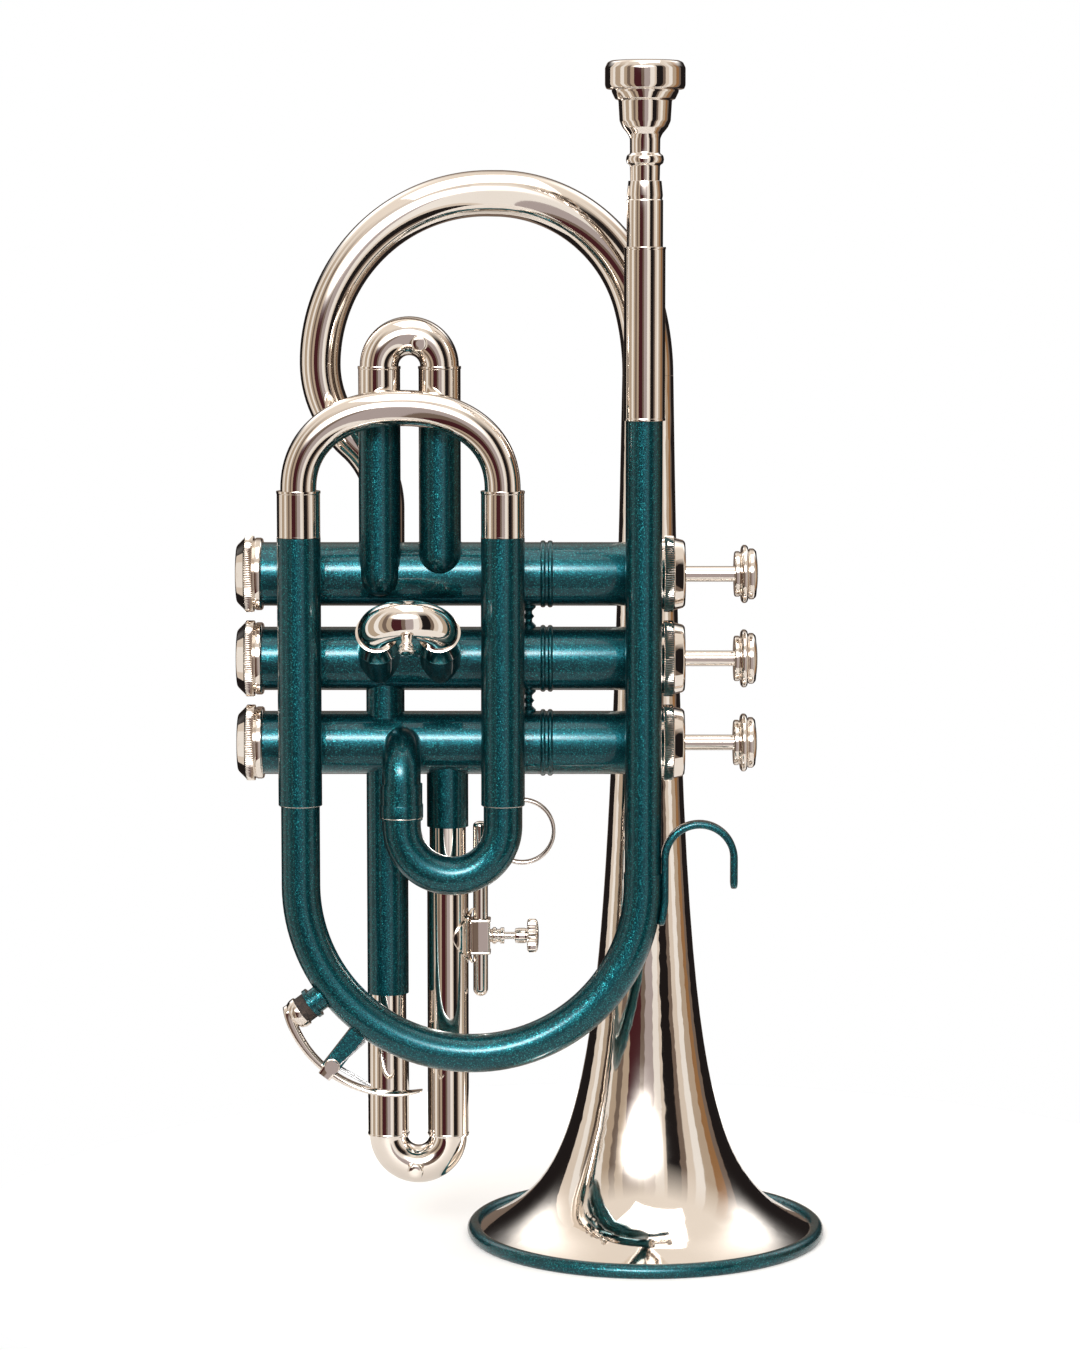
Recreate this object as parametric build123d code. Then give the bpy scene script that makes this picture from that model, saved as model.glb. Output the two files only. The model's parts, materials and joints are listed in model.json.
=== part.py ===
from build123d import *
import math
import os

# Cornet standing on its bell. Millimetres. +Z runs up the bell axis, +X points from
# that axis to the finger buttons, and +Y points away from the mouthpiece pipe.
# The origin is the centre of the bell mouth, on the plane that the rim rests on.

# Driving dimensions
RUNNING = 0.05  # radial clearance of a piston, a slide leg or a rod in its bore
WALL = 0.65  # wall of a drawn tube

# Bell: the outer radius follows FLARE_SCALE * (z + FLARE_SHIFT) ** -FLARE_POWER
FLARE_SCALE = 284.6
FLARE_SHIFT = 10.6
FLARE_POWER = 0.61
FLARE_STEPS = 22
FLARE_CROWDING = 2.2  # how strongly the section's points gather at the mouth
BELL_EDGE_Z = 2.6
BELL_TOP_Z = 296.0
BELL_WALL = 0.8
RIM_R = 61.5
RIM_BEAD_R = 2.5
RIM_FLAT_DROP = 2.2  # height of the bead's centre over the flat it rests on

# Shepherd's crook: it lies in an upright plane through the bell axis, turned by CROOK_TURN
CROOK_TURN = 9.2
CROOK_TOP_Z = 356.9
CROOK_RADII = (90.0, 50.6, 56.5, 35.0)
CROOK_FIRST_TURN = 15.0
CROOK_LAST_TURN = 48.0
CROOK_REACH = 111.0  # furthest centreline distance from the bell axis
TAIL_REACH = 89.5
TAIL_END_Z = 228.0
CROOK_TUBE_R = (8.65, 8.2, 7.55, 7.0, 6.6, 6.5)

# Valves: three casings along X, one above the other
VALVE_Y = -24.0
VALVE_Z = (230.8, 202.5, 174.2)
CASING_R = 10.6
BORE_R = 9.3
CASING_X = (-135.2, 8.5)
BEAD_X = (-35.4, -33.0)
BEAD_HALF = 0.8
BEAD_HEIGHT = 0.7
PISTON_R = BORE_R - RUNNING
PISTON_X = (-117.5, 6.0)
PISTON_END = 3.0  # thickness of the spring barrel's closed end
BARREL_X = -58.0  # the spring barrel of the piston starts here
BARREL_INNER_R = 8.3
BARREL_FLOOR = 2.0  # disc that closes the spring barrel from the air passages
TRAVEL = 16.0
PORT_R = 5.4
PORT_WALL = 0.6
PORT_X = (-102.0, -88.0, -74.0)
TAIL_PORT_R = 3.0
GUIDE_X = -38.0
GUIDE_THICK = 2.0
GUIDE_KEY = (3.0, 2 * BORE_R + 1.5)  # width and length of a guide's key
SLOT_WIDTH = 4.0
STEM_R = 2.6
STEM_END_X = 28.3
STEM_SPIGOT = 2.0  # how far the stem goes into its button
BUTTON_END_X = 35.6
BUTTON_TOP = 6.5  # height of the button's dish over the stem's shoulder
DISH_R = 6.6
CAP_R = 12.7
SPRING_R = 5.6
SPRING_WIRE_R = 0.45
SPRING_TURNS = 10
FELT_THICK = 1.9

# Tubes in front of the valves
FRONT_Y = -46.0
LEAD_X = -2.4
LEAD_R = 6.05
LEAD_BORE_R = 4.85
LEFT_LEG_X = -115.4
RIGHT_LEG_X = -48.6
BOW_Z = 129.5
BOW_R = (LEAD_X - LEFT_LEG_X) / 2
BOW_TUBE_R = 6.4
BOW_STRAIGHT = 4.0
OUTER_LEG_R = 7.2
OUTER_LEG_Z = (156.3, 244.5)
SLEEVE_TOP_Z = 259.9
TUNING_TUBE_R = 5.9
TUNING_STOP_R = 7.1
TUNING_FOOT_Z = 168.3
TUNING_CORNER_R = 27.0
INLET_X = -82.1
INLET_BOW_TOP_Z = 151.3
INLET_BOW_STUB = 2.0
INLET_FERRULE_TOP_Z = 163.3

# Mouthpiece and receiver
SHANK_Z = (340.0, 360.6)
SHANK_R = (4.3, 4.8)
RECEIVER_TOP_Z = 360.4
RECEIVER_R = 5.93
SLEEVE_Z = (282.8, 339.1)
SLEEVE_R = 6.75
SOCKET_R = 5.35  # spigots that join the receiver, its sleeve and the pipe
SOCKET_BORE_R = 4.7
RECEIVER_SPIGOT = 16.0
SLEEVE_SPIGOT = 6.0
MOUTHPIECE_PROFILE = [
    (361.0, 4.80), (365.4, 4.90), (366.0, 5.90), (367.3, 6.20), (368.6, 5.90), (369.2, 4.90),
    (374.0, 4.95), (375.4, 5.60), (377.6, 7.40), (379.6, 8.30), (386.3, 8.70), (386.5, 9.70),
    (388.9, 10.85), (389.6, 10.85), (389.8, 12.60), (391.0, 13.05), (396.6, 13.05),
    (398.4, 12.20), (399.0, 10.80), (398.6, 9.20), (396.6, 8.35), (392.0, 8.10), (387.0, 6.60),
    (384.0, 4.20), (382.6, 2.20), (381.4, 1.80), (379.0, 1.80),
]

# Joints between the casings
KNUCKLE_X = (-79.0, -88.1)  # first to second valve, second to third valve
BRACE_X = -40.2
BRACE_R = 2.4
BRACE_NECK_R = 1.2
SADDLE = 5.0

# Valve slides
SLIDE_GAP = 0.15  # between a slide's sleeve and the tube that it stops on
SLIDE_OUTER_R = 6.95
SLIDE_INNER_R = 6.1
SLIDE_BOW_R = 6.4
KNOB_R = (1.9, 2.7)  # neck and head
KNOB_HEAD = 1.6
FIRST_X = (-89.4, -69.5)
FIRST_Y = -31.3
FIRST_FOOT_Z = (230.9, 237.9)
FIRST_BEAD_Z = (240.5, 242.0)
FIRST_LEG_FOOT_Z = 243.4
FIRST_TOP_Z = 287.7
FIRST_BOW_Z = 300.1
SECOND_X = (-89.7, -69.4)
SECOND_TILT = 29.0  # above the horizontal, towards -Y
SECOND_DROP = -3.25  # the tubes' plane lies below the valve's axis
SECOND_LEG_FOOT = 11.3
SECOND_STUB = 18.8
SECOND_FERRULE = 29.4
THIRD_X = (-87.6, -67.4)
THIRD_OUTER_Z = (89.3, 146.0)
THIRD_ENGAGED = (60.0, 9.2)
THIRD_GAP = 10.6
THIRD_BOW_Z = 40.5

# Finger ring on the third slide
RING_ROD_X = -56.4
RING_ROD_R = 2.5
RING_ROD_Z = (90.5, 147.6)
RING_CENTRE = (-42.4, VALVE_Y, 144.2)
RING_R = (11.2, 10.0)
RING_WIDTH = 4.0
CLAMP_Z = (102.7, 114.6)
SADDLE_SHELL = 0.9
DIAMOND = (7.2, 9.3)  # half width and half height
CLAMP_HALF = 3.2
BOSS_R = 2.8
SCREW_X = (-48.2, -36.8)
SCREW_R = 1.3

# Water key on the main bow: angles below the horizontal, radii from the bow's centre
KEY_SEAT_ANGLE = 36.8
KEY_PIVOT_ANGLE = 52.4
KEY_CREST_ANGLE = 55.4
KEY_TIP_ANGLE = 76.5
KEY_PIVOT_REACH = 76.0
KEY_SEAT_REACH = 66.8
KEY_DRAIN_R = 2.2
KEY_NIPPLE_R = (4.2, 5.3)  # neck and flange
KEY_FLANGE = 1.4
KEY_POST = (4.2, 5.6, 21.5)
KEY_PIN_R = 1.1
KEY_PIN_HEAD_R = 2.3
KEY_ARM_REACH = (76.2, 81.4, 71.6)  # back of the arm at the cork, over the pivot and at the tip
KEY_ARM_INNER = (74.2, 79.4, 70.4)
KEY_ARM_HALF = 3.0
EAR_Y = (2.9, 4.1)
EAR_R = 2.6
CORK_REACH = (66.95, 71.0)
CORK_R = 4.6
CUP_R = 5.2
KEY_SPRING_R = 0.45
KEY_SPRING_Y = 1.2

# Little-finger hook on the mouthpiece pipe
HOOK_THICK = 2.4
HOOK_WIDTH = 6.0
HOOK_X = LEAD_X + LEAD_R + HOOK_THICK / 2
HOOK_ARCH_R = 11.4
HOOK_FOOT_Z = 116.0
HOOK_ARCH_Z = 138.4
HOOK_TIP_Z = 128.3
HOOK_REACH = 20.0  # length of pipe that the hook's foot is cut to, above its arch

UP = (0, 0, 1)
TO_BUTTONS = (1, 0, 0)
TO_FRONT = (0, -1, 0)
TO_BACK = (0, 1, 0)


def rod(start, end, radius):
    """Solid round bar from one point to another."""
    run = Vector(end) - Vector(start)
    at = Plane(origin=start, z_dir=run)
    return at * Cylinder(radius, run.length, align=(Align.CENTER, Align.CENTER, Align.MIN))


def tube(start, end, outer, inner):
    """Round tube from one point to another."""
    return rod(start, end, outer) - rod(start, end, inner)


def turned(points, origin, direction):
    """Solid turned from (along, radius) points about an axis through origin."""
    outline = Plane.XZ * make_face(Polyline([(r, z) for z, r in points], close=True))
    body = revolve(outline, Axis.Z)
    return Plane(origin=origin, z_dir=direction) * body


def bend(centre, start, normal, angle, outer, inner):
    """Bent tube: a ring section at start, swung about an axis through centre."""
    arm = Vector(start) - Vector(centre)
    along = Vector(normal).cross(arm)
    ring = Plane(origin=start, z_dir=along) * (Circle(outer) - Circle(inner))
    return revolve(ring, Axis(centre, normal), angle)


def solid_bend(centre, start, normal, angle, radius):
    """The solid that a bent tube's outside fills."""
    along = Vector(normal).cross(Vector(start) - Vector(centre))
    disc = Plane(origin=start, z_dir=along) * Circle(radius)
    return revolve(disc, Axis(centre, normal), angle)


def flare_radius(z):
    return FLARE_SCALE * (z + FLARE_SHIFT) ** -FLARE_POWER


def flare_inside(z):
    """Point of the inner surface facing the outer point at height z, as (radius, z)."""
    slope = -FLARE_POWER * flare_radius(z) / (z + FLARE_SHIFT)
    length = math.hypot(1.0, slope)
    return (flare_radius(z) - BELL_WALL / length, z + BELL_WALL * slope / length)


def bell():
    rise = BELL_TOP_Z - BELL_EDGE_Z
    shares = [(i / FLARE_STEPS) ** FLARE_CROWDING for i in range(FLARE_STEPS + 1)]
    heights = [BELL_EDGE_Z + rise * share for share in shares]
    outside = Spline([(flare_radius(z), z) for z in heights])
    inside = Spline([flare_inside(z) for z in heights])
    lip = Line(outside @ 0, inside @ 0)
    top = Line(outside @ 1, inside @ 1)
    section = Plane.XZ * make_face([outside, top, inside, lip])
    return revolve(section, Axis.Z)


def bell_envelope():
    """The solid that the bell's stem fills beside the valves."""
    low = VALVE_Z[2] - CASING_R
    high = VALVE_Z[0] + CASING_R
    stem_line = [(z, flare_radius(z)) for z in (low, VALVE_Z[2], VALVE_Z[1], VALVE_Z[0], high)]
    return turned([(low, 0)] + stem_line + [(high, 0)], (0, 0, 0), UP)


def bell_rim(flare):
    bead = Pos(RIM_R - RIM_BEAD_R, RIM_FLAT_DROP) * Circle(RIM_BEAD_R)
    above = Pos(RIM_R - RIM_BEAD_R, RIM_BEAD_R * 2) * Rectangle(RIM_BEAD_R * 4, RIM_BEAD_R * 4)
    ring = revolve(Plane.XZ * (bead & above), Axis.Z)
    return ring - flare


def crook_point(reach, z):
    turn = math.radians(CROOK_TURN)
    return Vector(-reach * math.cos(turn), -reach * math.sin(turn), z)


def crook_stations():
    """Centreline points of the crook with their directions, as (reach, z, lean)."""
    first, second, third, fourth = CROOK_RADII
    lean = math.radians(CROOK_FIRST_TURN)
    turn_reach = first * (1 - math.cos(lean)) + second * math.cos(lean)
    second_centre = (turn_reach, CROOK_TOP_Z - second)
    start_z = second_centre[1] + second * math.sin(lean) - first * math.sin(lean)
    stations = []
    for i in range(3):
        a = lean * i / 2
        stations.append((first * (1 - math.cos(a)), start_z + first * math.sin(a), a))
    for i in range(1, 6):
        a = lean + (math.pi / 2 - lean) * i / 5
        reach = second_centre[0] - second * math.cos(a)
        stations.append((reach, second_centre[1] + second * math.sin(a), a))
    third_centre = (CROOK_REACH - third, CROOK_TOP_Z - third)
    for i in range(0, 6):
        a = math.pi / 2 * (1 + i / 5)
        reach = third_centre[0] - third * math.cos(a)
        stations.append((reach, third_centre[1] + third * math.sin(a), a))
    last = math.radians(CROOK_LAST_TURN)
    fourth_centre = (CROOK_REACH - fourth, third_centre[1])
    for i in range(1, 4):
        a = math.pi + last * i / 3
        reach = fourth_centre[0] - fourth * math.cos(a)
        stations.append((reach, fourth_centre[1] + fourth * math.sin(a), a))
    knee_reach, knee_z, knee = stations[-1]
    fifth = (knee_reach - TAIL_REACH) / (1 - math.cos(last))
    for i in range(1, 4):
        a = last * (1 - i / 3)
        reach = TAIL_REACH + fifth * (1 - math.cos(a))
        stations.append((reach, knee_z - fifth * (math.sin(last) - math.sin(a)), math.pi + a))
    stations.append((TAIL_REACH, TAIL_END_Z, math.pi))
    return stations


def crook_radius(share):
    """Tube radius at a share of the way along the crook."""
    place = share * (len(CROOK_TUBE_R) - 1)
    low = min(int(place), len(CROOK_TUBE_R) - 2)
    return CROOK_TUBE_R[low] + (CROOK_TUBE_R[low + 1] - CROOK_TUBE_R[low]) * (place - low)


def crook_solid(stations, thinner):
    """Tapered round bar through the stations, thinner than the tube by the given wall."""
    turn = math.radians(CROOK_TURN)
    across = (math.sin(turn), -math.cos(turn), 0)
    sections = []
    for i, (reach, z, lean) in enumerate(stations):
        along = crook_point(math.sin(lean), math.cos(lean))
        radius = crook_radius(i / (len(stations) - 1)) - thinner
        at = Plane(origin=crook_point(reach, z), x_dir=across, z_dir=along)
        sections.append(at * Circle(radius))
    return loft(sections, ruled=True)


def casing_envelope(valve, radius=CASING_R):
    """Solid cylinder in a valve casing's place, for trimming what is brazed to it."""
    z = VALVE_Z[valve]
    return rod((CASING_X[0], VALVE_Y, z), (CASING_X[1], VALVE_Y, z), radius)


def bell_crook():
    """Tapered crook whose closed toe follows the first casing."""
    stations = crook_stations()
    bore = crook_solid(stations, WALL)
    tail = CROOK_TUBE_R[-1]
    at_end = Pos(*crook_point(TAIL_REACH, TAIL_END_Z))
    toe = at_end * Sphere(tail) - at_end * Sphere(tail - WALL)
    crook = crook_solid(stations, 0) + toe - bore
    return crook - casing_envelope(0)


def mouthpiece():
    """Shank, backbore, throat, cup and rim, turned from one bar."""
    shank = [(SHANK_Z[0], SHANK_R[0]), (SHANK_Z[1], SHANK_R[1])]
    backbore = [(SHANK_Z[0], SHANK_R[0] - 0.7)]
    return turned(shank + MOUTHPIECE_PROFILE + backbore, (LEAD_X, FRONT_Y, 0), UP)


def mouthpiece_receiver():
    """Sleeve whose tapered bore holds the mouthpiece's shank."""
    shoulder = SLEEVE_Z[1]
    foot = shoulder - RECEIVER_SPIGOT
    stop = SHANK_Z[0] - 1.0
    outline = [
        (foot, SOCKET_R), (shoulder, SOCKET_R), (shoulder, RECEIVER_R), (354.2, RECEIVER_R),
        (354.4, 5.60), (355.6, 5.85), (358.4, 5.60), (RECEIVER_TOP_Z, 5.40),
        (RECEIVER_TOP_Z, SHANK_R[1] + RUNNING), (SHANK_Z[0], SHANK_R[0] + RUNNING),
        (stop, SHANK_R[0] + RUNNING), (stop - 0.2, 3.60), (foot, 4.40),
    ]
    return turned(outline, (LEAD_X, FRONT_Y, 0), UP)


def leadpipe_sleeve():
    """Nickel tube between the receiver and the lacquered pipe."""
    low, high = SLEEVE_Z
    foot = low - SLEEVE_SPIGOT
    seat = high - RECEIVER_SPIGOT
    outline = [
        (foot, SOCKET_R), (low, SOCKET_R), (low, SLEEVE_R), (high, SLEEVE_R),
        (high, SOCKET_R), (seat, SOCKET_R), (seat, SOCKET_BORE_R), (foot, SOCKET_BORE_R),
    ]
    return turned(outline, (LEAD_X, FRONT_Y, 0), UP)


def leadpipe():
    low = (LEAD_X, FRONT_Y, BOW_Z + BOW_STRAIGHT)
    high = (LEAD_X, FRONT_Y, SLEEVE_Z[0])
    socket = (LEAD_X, FRONT_Y, SLEEVE_Z[0] - SLEEVE_SPIGOT)
    return tube(low, high, LEAD_R, LEAD_BORE_R) - rod(socket, high, SOCKET_R)


def main_bow():
    """Large bow from the mouthpiece pipe to the left slide tube, drilled for the water key."""
    centre = ((LEFT_LEG_X + LEAD_X) / 2, FRONT_Y, BOW_Z)
    right = (LEAD_X, FRONT_Y, BOW_Z)
    left = (LEFT_LEG_X, FRONT_Y, BOW_Z)
    inner = BOW_TUBE_R - WALL
    bow = bend(centre, right, TO_BACK, 180, BOW_TUBE_R, inner)
    bow += tube(right, (LEAD_X, FRONT_Y, BOW_Z + BOW_STRAIGHT), BOW_TUBE_R, inner)
    bow += tube(left, (LEFT_LEG_X, FRONT_Y, OUTER_LEG_Z[0]), BOW_TUBE_R, inner)
    seat = key_point(KEY_SEAT_ANGLE, KEY_SEAT_REACH)
    return bow - rod(key_point(KEY_SEAT_ANGLE, BOW_R), seat, KEY_DRAIN_R)


def tuning_outer_tubes():
    low, high = OUTER_LEG_Z
    legs = []
    for x in (LEFT_LEG_X, RIGHT_LEG_X):
        legs.append(tube((x, FRONT_Y, low), (x, FRONT_Y, high), OUTER_LEG_R, TUNING_TUBE_R + RUNNING))
    return Compound(legs)


def tuning_inner_tubes():
    """Slide legs with the wider sleeves that stop them on the outer tubes."""
    legs = []
    for x in (LEFT_LEG_X, RIGHT_LEG_X):
        foot = (x, FRONT_Y, TUNING_FOOT_Z)
        stop = (x, FRONT_Y, OUTER_LEG_Z[1] + SLIDE_GAP)
        top = (x, FRONT_Y, SLEEVE_TOP_Z)
        leg = tube(foot, top, TUNING_TUBE_R, TUNING_TUBE_R - WALL)
        legs.append(leg + tube(stop, top, TUNING_STOP_R, TUNING_TUBE_R - WALL))
    return Compound(legs)


def tuning_bow():
    inner = TUNING_TUBE_R - WALL
    flat_z = SLEEVE_TOP_Z + TUNING_CORNER_R
    left = (LEFT_LEG_X, FRONT_Y, SLEEVE_TOP_Z)
    right = (RIGHT_LEG_X, FRONT_Y, SLEEVE_TOP_Z)
    left_centre = (LEFT_LEG_X + TUNING_CORNER_R, FRONT_Y, SLEEVE_TOP_Z)
    right_centre = (RIGHT_LEG_X - TUNING_CORNER_R, FRONT_Y, SLEEVE_TOP_Z)
    bow = bend(left_centre, left, TO_BACK, 90, TUNING_TUBE_R, inner)
    bow += bend(right_centre, right, TO_FRONT, 90, TUNING_TUBE_R, inner)
    flat = ((left_centre[0], FRONT_Y, flat_z), (right_centre[0], FRONT_Y, flat_z))
    return bow + tube(*flat, TUNING_TUBE_R, inner)


def inlet_bow():
    """Small bow from the right slide leg to the third valve's inlet."""
    radius = (RIGHT_LEG_X - INLET_X) / 2
    inner = BOW_TUBE_R - WALL
    z = INLET_BOW_TOP_Z - INLET_BOW_STUB
    right = (RIGHT_LEG_X, FRONT_Y, z)
    left = (INLET_X, FRONT_Y, z)
    bow = bend((INLET_X + radius, FRONT_Y, z), right, TO_BACK, 180, BOW_TUBE_R, inner)
    bow += tube(right, (RIGHT_LEG_X, FRONT_Y, OUTER_LEG_Z[0]), BOW_TUBE_R, inner)
    bow += tube(left, (INLET_X, FRONT_Y, INLET_BOW_TOP_Z), BOW_TUBE_R, inner)
    return bow


def inlet_elbow():
    """Ferrule and elbow that lead the air into the third valve."""
    turn = VALVE_Z[2] - INLET_FERRULE_TOP_Z
    inner = BOW_TUBE_R - WALL
    low = (INLET_X, FRONT_Y, INLET_FERRULE_TOP_Z)
    centre = (INLET_X, FRONT_Y + turn, INLET_FERRULE_TOP_Z)
    elbow = bend(centre, low, TO_BUTTONS, -90, BOW_TUBE_R, inner)
    reach = (INLET_X, VALVE_Y, VALVE_Z[2])
    elbow += tube((INLET_X, FRONT_Y + turn, VALVE_Z[2]), reach, BOW_TUBE_R, inner)
    elbow += tube((INLET_X, FRONT_Y, INLET_BOW_TOP_Z), low, SLIDE_OUTER_R, inner)
    return elbow - casing_envelope(2)


def valve_casing(valve):
    """Casing with its two beads, drilled for its tubes and slotted for its guide."""
    z = VALVE_Z[valve]
    low, top = CASING_X
    casing = tube((low, VALVE_Y, z), (top, VALVE_Y, z), CASING_R, BORE_R)
    for x in BEAD_X:
        start = (x - BEAD_HALF, VALVE_Y, z)
        end = (x + BEAD_HALF, VALVE_Y, z)
        casing += tube(start, end, CASING_R + BEAD_HEIGHT, BORE_R)
    width, length = GUIDE_KEY
    slot = Box(GUIDE_THICK + 0.1, length + 0.1, width + 0.1)
    casing -= Pos(GUIDE_X + GUIDE_THICK / 2, VALVE_Y, z) * slot
    for port in casing_ports(valve):
        casing -= port
    return casing


def casing_ports(valve):
    """Bores through a casing's wall where tubes and knuckles open into it."""
    z = VALVE_Z[valve]
    bore = TUNING_TUBE_R - WALL
    depth = 2 * CASING_R
    if valve == 0:
        tail = crook_point(TAIL_REACH, z)
        return [
            rod(tail, tail + Vector(0, 0, depth), TAIL_PORT_R),
            rod((FIRST_X[1], FIRST_Y, z), (FIRST_X[1], FIRST_Y, z + depth), bore),
            rod((KNUCKLE_X[0], VALVE_Y, z), (KNUCKLE_X[0], VALVE_Y, z - depth), bore),
        ]
    if valve == 1:
        ports = [
            rod((KNUCKLE_X[0], VALVE_Y, z), (KNUCKLE_X[0], VALVE_Y, z + depth), bore),
            rod((KNUCKLE_X[1], VALVE_Y, z), (KNUCKLE_X[1], VALVE_Y, z - depth), bore),
        ]
        return ports + [rod(second_point(x, 0), second_point(x, depth), bore) for x in SECOND_X]
    ports = [rod((x, VALVE_Y, z), (x, VALVE_Y, z - depth), bore) for x in THIRD_X]
    ports.append(rod((KNUCKLE_X[1], VALVE_Y, z), (KNUCKLE_X[1], VALVE_Y, z + depth), bore))
    ports.append(rod((INLET_X, VALVE_Y, z), (INLET_X, VALVE_Y - depth, z), bore))
    return ports


def knuckles():
    """Short tubes that join the casings, first to second and second to third."""
    joined = []
    for pair, x in enumerate(KNUCKLE_X):
        low = (x, VALVE_Y, VALVE_Z[pair + 1])
        high = (x, VALVE_Y, VALVE_Z[pair])
        link = tube(low, high, BOW_TUBE_R, BOW_TUBE_R - WALL)
        joined.append(link - casing_envelope(pair) - casing_envelope(pair + 1))
    return Compound(joined)


def casing_braces():
    """Small turned posts between the casings, near the beads."""
    posts = []
    for pair in (0, 1):
        low = VALVE_Z[pair + 1]
        high = VALVE_Z[pair]
        middle = (high + low) / 2
        outline = [
            (low, 0), (low, BRACE_R), (middle - 3.0, BRACE_R), (middle - 1.8, BRACE_NECK_R),
            (middle - 0.9, BRACE_NECK_R), (middle, 1.9), (middle + 0.9, BRACE_NECK_R),
            (middle + 1.8, BRACE_NECK_R), (middle + 3.0, BRACE_R), (high, BRACE_R), (high, 0),
        ]
        post = turned(outline, (BRACE_X, VALVE_Y, 0), UP)
        posts.append(post - casing_envelope(pair) - casing_envelope(pair + 1))
    return Compound(posts)


def tube_saddles():
    """Solder pads between the casings and the tubes and bell that pass them."""
    pads = []
    passing = ((LEFT_LEG_X, OUTER_LEG_R), (RIGHT_LEG_X, OUTER_LEG_R), (LEAD_X, LEAD_R))
    for valve, z in enumerate(VALVE_Z):
        for x, radius in passing:
            pad = Pos(x, (FRONT_Y + VALVE_Y) / 2, z) * Box(SADDLE, VALVE_Y - FRONT_Y, SADDLE)
            pad -= rod((x, FRONT_Y, z - SADDLE), (x, FRONT_Y, z + SADDLE), radius)
            pads.append(pad - casing_envelope(valve))
        if valve != 1:
            pad = Pos(0, VALVE_Y / 2 - 2.0, z) * Box(SADDLE, -VALVE_Y - 4.0, SADDLE)
            pads.append(pad - casing_envelope(valve) - bell_envelope())
    return Compound(pads)


def piston(valve):
    """Thin shell with cross tubes for the air, a spring barrel and slots for its guide."""
    z = VALVE_Z[valve]
    low, top = PISTON_X
    whole = rod((low, VALVE_Y, z), (top, VALVE_Y, z), PISTON_R)
    body = whole - rod((low, VALVE_Y, z), (top - PISTON_END, VALVE_Y, z), BARREL_INNER_R)
    body += rod((BARREL_X - BARREL_FLOOR, VALVE_Y, z), (BARREL_X, VALVE_Y, z), PISTON_R)
    for x in PORT_X:
        passage = [(x, VALVE_Y, z - CASING_R), (x, VALVE_Y, z + CASING_R)]
        body += rod(*passage, PORT_R + PORT_WALL) & whole
        body -= rod(*passage, PORT_R)
    body -= rod((top - PISTON_END - 1.0, VALVE_Y, z), (top, VALVE_Y, z), STEM_R)
    slot = TRAVEL + GUIDE_THICK + 2.0
    return body - Pos(GUIDE_X + slot / 2 - 1.0, VALVE_Y, z) * Box(slot, 4 * PISTON_R, SLOT_WIDTH)


def stem(valve):
    z = VALVE_Z[valve]
    foot = (PISTON_X[1] - PISTON_END, VALVE_Y, z)
    return rod(foot, (STEM_END_X + STEM_SPIGOT, VALVE_Y, z), STEM_R)


def button(valve):
    """Stacked discs with a dish for the inlay."""
    x = STEM_END_X
    dish = x + BUTTON_TOP
    outline = [
        (x, STEM_R), (x, 7.2), (x + 0.5, 7.6), (x + 1.8, 7.6), (x + 2.2, 7.2), (x + 2.4, 9.3),
        (x + 2.8, 9.7), (x + 4.1, 9.7), (x + 4.5, 9.3), (x + 4.6, 8.4), (x + 6.4, 8.4),
        (BUTTON_END_X, 7.6), (BUTTON_END_X, DISH_R), (dish, DISH_R), (dish, 0),
        (x + STEM_SPIGOT, 0), (x + STEM_SPIGOT, STEM_R),
    ]
    return turned(outline, (0, VALVE_Y, VALVE_Z[valve]), TO_BUTTONS)


def button_pearl(valve):
    x = STEM_END_X + BUTTON_TOP
    outline = [(x, 0), (x, DISH_R), (x + 0.8, 6.5), (x + 1.1, 5.0), (x + 1.3, 3.0), (x + 1.35, 0)]
    return turned(outline, (0, VALVE_Y, VALVE_Z[valve]), TO_BUTTONS)


def top_cap(valve):
    x = CASING_X[1]
    outline = [
        (3.7, CASING_R), (3.7, 11.6), (4.9, 11.9), (4.9, CAP_R), (8.1, CAP_R), (8.2, 12.1),
        (11.2, 11.3), (11.9, 10.6), (11.9, STEM_R + 0.4), (x, STEM_R + 0.4), (x, CASING_R),
    ]
    return turned(outline, (0, VALVE_Y, VALVE_Z[valve]), TO_BUTTONS)


def bottom_cap(valve):
    x = CASING_X[0]
    outline = [
        (-128.7, CASING_R), (-128.7, 11.7), (-129.2, 12.1), (-130.9, 12.1), (-131.3, 11.7),
        (-131.7, 12.4), (-131.7, CAP_R), (-134.4, CAP_R), (-134.6, 12.2), (-137.0, 9.8),
        (-137.4, 9.2), (-137.4, 1.6), (x, 1.6), (x, CASING_R),
    ]
    return turned(outline, (0, VALVE_Y, VALVE_Z[valve]), TO_BUTTONS)


def valve_spring(valve):
    """Coil between the guide and the top of the piston's spring barrel."""
    low = GUIDE_X + GUIDE_THICK + SPRING_WIRE_R + 0.1
    length = PISTON_X[1] - PISTON_END - SPRING_WIRE_R - 0.1 - low
    path = Helix(length / SPRING_TURNS, length, SPRING_R)
    wire = Plane(origin=path @ 0, z_dir=path % 0) * Circle(SPRING_WIRE_R)
    coil = sweep(wire, path, is_frenet=True)
    return Plane(origin=(low, VALVE_Y, VALVE_Z[valve]), z_dir=TO_BUTTONS) * coil


def valve_guides():
    """Keys fixed in the casings' slots, which carry the springs and stop the pistons turning."""
    keys = []
    width, length = GUIDE_KEY
    for z in VALVE_Z:
        start = (GUIDE_X, VALVE_Y, z)
        end = (GUIDE_X + GUIDE_THICK, VALVE_Y, z)
        key = rod(start, end, BARREL_INNER_R - 0.4)
        key += Pos(GUIDE_X + GUIDE_THICK / 2, VALVE_Y, z) * Box(GUIDE_THICK, length, width)
        keys.append(key)
    return Compound(keys)


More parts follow.
